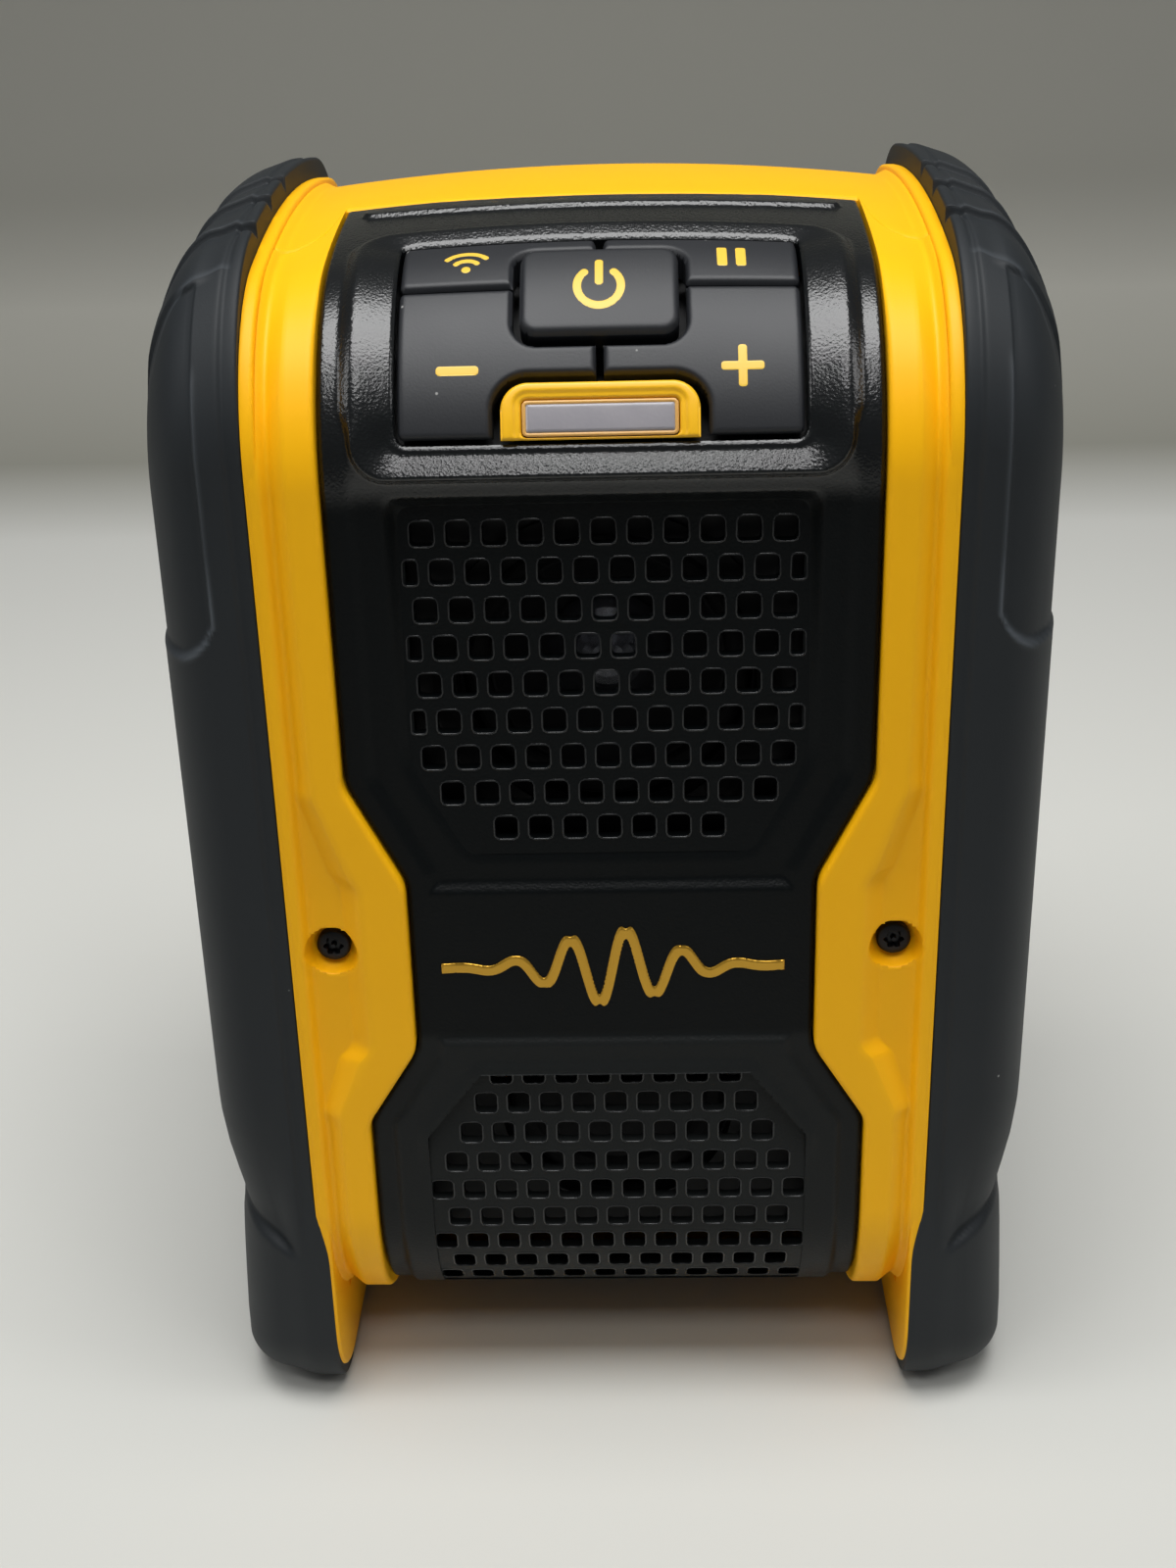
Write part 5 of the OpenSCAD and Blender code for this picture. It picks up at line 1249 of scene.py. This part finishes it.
def ring_arc(x, s, mid, radius, width, half_angle, turn):
    """Distance inside an arc stroke with round ends: the arc is centred on direction turn."""
    px, py = x - mid[0], s - mid[1]
    a = np.arctan2(py, px) - turn
    a = (a + math.pi) % (2 * math.pi) - math.pi
    c = np.clip(a, -half_angle, half_angle) + turn
    return width / 2 - np.hypot(px - radius * np.cos(c), py - radius * np.sin(c))


def power_symbol(x, s):
    """Power sign: an open ring with a bar through the gap."""
    ring = ring_arc(x, s, (0, POWER_MID_S - 0.3), 2.9, 1.1, math.radians(138), -math.pi / 2)
    return np.maximum(ring, rounded_inside(x, s, (0, POWER_MID_S + 1.9), (1.1, 4.2), 0.4))


def wireless_waves(x, s):
    """Generic sending sign: a dot with two arcs above it."""
    mid = (PAIRING_X, UPPER_S - 1.7)
    dot = 0.62 - np.hypot(x - mid[0], s - mid[1])
    arcs = [ring_arc(x, s, mid, r, 0.8, math.radians(48), math.pi / 2) for r in (1.9, 3.5)]
    return np.maximum.reduce([dot, *arcs])


def badge_wave(x, s):
    """Distance inside the badge line: a sine under a bell-shaped swell, drawn with an even stroke."""
    swell = WAVE_RISE * np.exp(-(x / WAVE_BELL) ** 2)
    k = 2 * math.pi / WAVE_LONG
    y = swell * np.sin(k * x)
    slope = swell * (k * np.cos(k * x) - 2 * x / WAVE_BELL ** 2 * np.sin(k * x))
    stroke = WAVE_STROKE - np.abs(s - BADGE_S - y) / np.sqrt(1 + slope * slope)
    return np.minimum(stroke, BADGE_HALF - np.abs(x))


def sign(name, inside, x_ends, mid, half, rise, body):
    """Printed sign: a thin layer with a rounded edge that follows the key."""
    axes = [np.arange(low, high + SIGN_STEP, SIGN_STEP) for low, high in (x_ends, (mid - half, mid + half))]
    plate = masked_plate(*axes, inside, lambda x, s, d: rise + 0.035 - round_over(d, 0.03), lambda h: rise - 0.05)
    make_piece(name, *plate, "gold_print", body, (), "lamp_frame")


sign("minus_sign", bars(0.5, ((-VOLUME_X, VOLUME_S), (5.6, 1.25))), (-22.5, -14.5), VOLUME_S, 2, KEY_RISE,
     "volume_down_key_cap")
sign("plus_sign", bars(0.4, *(((VOLUME_X, VOLUME_S), size) for size in ((5.6, 1.15), (1.15, 5.6)))), (15, 22.2),
     VOLUME_S, 3.6, KEY_RISE, "volume_up_key_cap")
sign("pause_sign", bars(0.3, *(((x, UPPER_S), (1.35, 4.0)) for x in PAUSE_X)), (14.5, 21), UPPER_S, 3, KEY_RISE,
     "play_key_cap")
sign("power_sign", power_symbol, (-4.5, 4.5), POWER_MID_S, 5, POWER_RISE, "power_key_cap")
sign("pairing_sign", wireless_waves, (-22, -13.6), UPPER_S, 3, KEY_RISE, "pairing_key_cap")
foil = masked_plate(np.arange(-25.4, 25.5, BADGE_STEP), np.arange(BADGE_S - 7, BADGE_S + 7, BADGE_STEP), badge_wave,
                    lambda x, s, d: 0.3 - round_over(d, 0.18), lambda h: -0.2)
make_piece("badge_wave", *foil, "gold_foil", "casing", (), "lamp_frame")


# Floor, light and camera

FLOOR_SPAN = (-0.4, 2.4)
# Floor tones by depth are painted light and shade, not the floor's own colour
FLOOR_PAINTED_LIGHT = ((-0.4, (172, 172, 168)), (0.0, (217, 217, 211)), (0.44, (230, 230, 224)), (0.56, (174, 173, 162)),
               (0.95, (250, 248, 236)), (2.4, (255, 253, 240)))
FLOOR_HALF, FLOOR_NEAR = 3000, -2500.0
SWEEP_Y, SWEEP_R = 1500, 900
BACKDROP_TOP = 2600.0


def studio():
    """Sweep: a flat floor that curves by a quarter circle into a backdrop far behind, with tones by depth that paint
    light and shade: darker near the front, a dark band for a shaded wall, paler far off where the light falls off.
    """
    a = np.linspace(0.05, 1, 24) * math.pi / 2
    y = np.concatenate([[FLOOR_NEAR], np.linspace(-400, SWEEP_Y, 20), SWEEP_Y + SWEEP_R * np.sin(a),
                        [SWEEP_Y + SWEEP_R]])
    z = np.concatenate([np.zeros(21), SWEEP_R - SWEEP_R * np.cos(a), [BACKDROP_TOP]])
    parts = Parts()
    parts.grid(np.stack([np.column_stack([np.full(len(y), x), y, z]) for x in (-FLOOR_HALF, FLOOR_HALF)]))
    obj = smooth_object("studio_sweep", *parts.all())
    mat = bpy.data.materials.new("pale_floor")
    mat.use_nodes = True
    bsdf = mat.node_tree.nodes["Principled BSDF"]
    bsdf.inputs["Roughness"].default_value = 0.85
    bsdf.inputs["Specular IOR Level"].default_value = 0.1
    tree = mat.node_tree
    split = add(tree, "ShaderNodeSeparateXYZ", [(0, add(tree, "ShaderNodeTexCoord").outputs["Object"])])
    depth = add(tree, "ShaderNodeMapRange", [(0, split.outputs["Y"]), (1, FLOOR_SPAN[0]), (2, FLOOR_SPAN[1]),
                                             (3, 0.0), (4, 1.0)])
    tone = add(tree, "ShaderNodeValToRGB", [(0, depth.outputs[0])])
    stops = tone.color_ramp.elements
    while len(stops) < len(FLOOR_PAINTED_LIGHT):
        stops.new(0.5)
    for stop, (y, colour) in zip(stops, FLOOR_PAINTED_LIGHT):
        stop.position = (y - FLOOR_SPAN[0]) / (FLOOR_SPAN[1] - FLOOR_SPAN[0])
        stop.color = linear(*colour)
    tree.links.new(tone.outputs[0], bsdf.inputs["Base Color"])
    obj.data.materials.append(mat)


studio()


def lamp(name, place, target, size, power):
    """Rectangular light at a place, turned so that its axis points to the target."""
    light = bpy.data.lights.new(name, "AREA")
    light.shape = "RECTANGLE"
    light.size, light.size_y = size
    light.energy = power
    obj = bpy.data.objects.new(name, light)
    bpy.context.scene.collection.objects.link(obj)
    obj.location = place
    aim = np.array(target) - np.array(place)
    obj.rotation_euler = Vector(aim).to_track_quat("-Z", "Y").to_euler()


lamp("overhead", (0.0, -0.18, 0.85), (0, 0, 0.1), (0.6, 0.45), 6.6)
for side, name in ((-1, "left_window"), (1, "right_window")):
    lamp(name, (side * 0.75, -0.25, 0.65), (0, 0, 0.15), (0.25, 0.4), 1.0)
lamp("front_strip", (0.0, -0.88, 1.16), (0, 0, 0.12), (0.45, 0.22), 2.4)
world = bpy.data.worlds.new("studio_world")
world.use_nodes = True
sky = world.node_tree.nodes["Background"]
sky.inputs["Color"].default_value = (0.93, 0.95, 1.0, 1)
sky.inputs["Strength"].default_value = 0.1
bpy.context.scene.world = world

CAMERA_AT = (5.102, -302.494, 221.471)
CAMERA_PITCH = math.radians(23.944)
CAMERA_YAW = math.radians(1.823)
CAMERA_ROLL = math.radians(-1.581)
FOCAL_PX = 2000.0
IMAGE_H = 1600
SENSOR_MM = 36.0


def turn_about(axis, a):
    """Rotation matrix by angle a about one axis: cosine and sine of a in the plane of the other two."""
    c, s = math.cos(a), math.sin(a)
    if axis == "x":
        return np.array([[1, 0, 0], [0, c, -s], [0, s, c]])
    if axis == "y":
        return np.array([[c, 0, s], [0, 1, 0], [-s, 0, c]])
    return np.array([[c, -s, 0], [s, c, 0], [0, 0, 1]])


view = turn_about("y", CAMERA_ROLL) @ turn_about("x", CAMERA_PITCH) @ turn_about("z", -CAMERA_YAW)
right, ahead, up = view[0], view[1], view[2]
data = bpy.data.cameras.new("photo_camera")
data.sensor_fit = "VERTICAL"
data.sensor_height = SENSOR_MM
data.lens = FOCAL_PX * SENSOR_MM / IMAGE_H
data.clip_start = 0.01
camera = bpy.data.objects.new("photo_camera", data)
bpy.context.scene.collection.objects.link(camera)
pose = np.eye(4)
pose[:3, 0], pose[:3, 1], pose[:3, 2], pose[:3, 3] = right, up, -ahead, np.array(CAMERA_AT) * MM
camera.matrix_world = Matrix(pose.tolist())
bpy.context.scene.camera = camera
bpy.context.scene.view_settings.view_transform = "Standard"
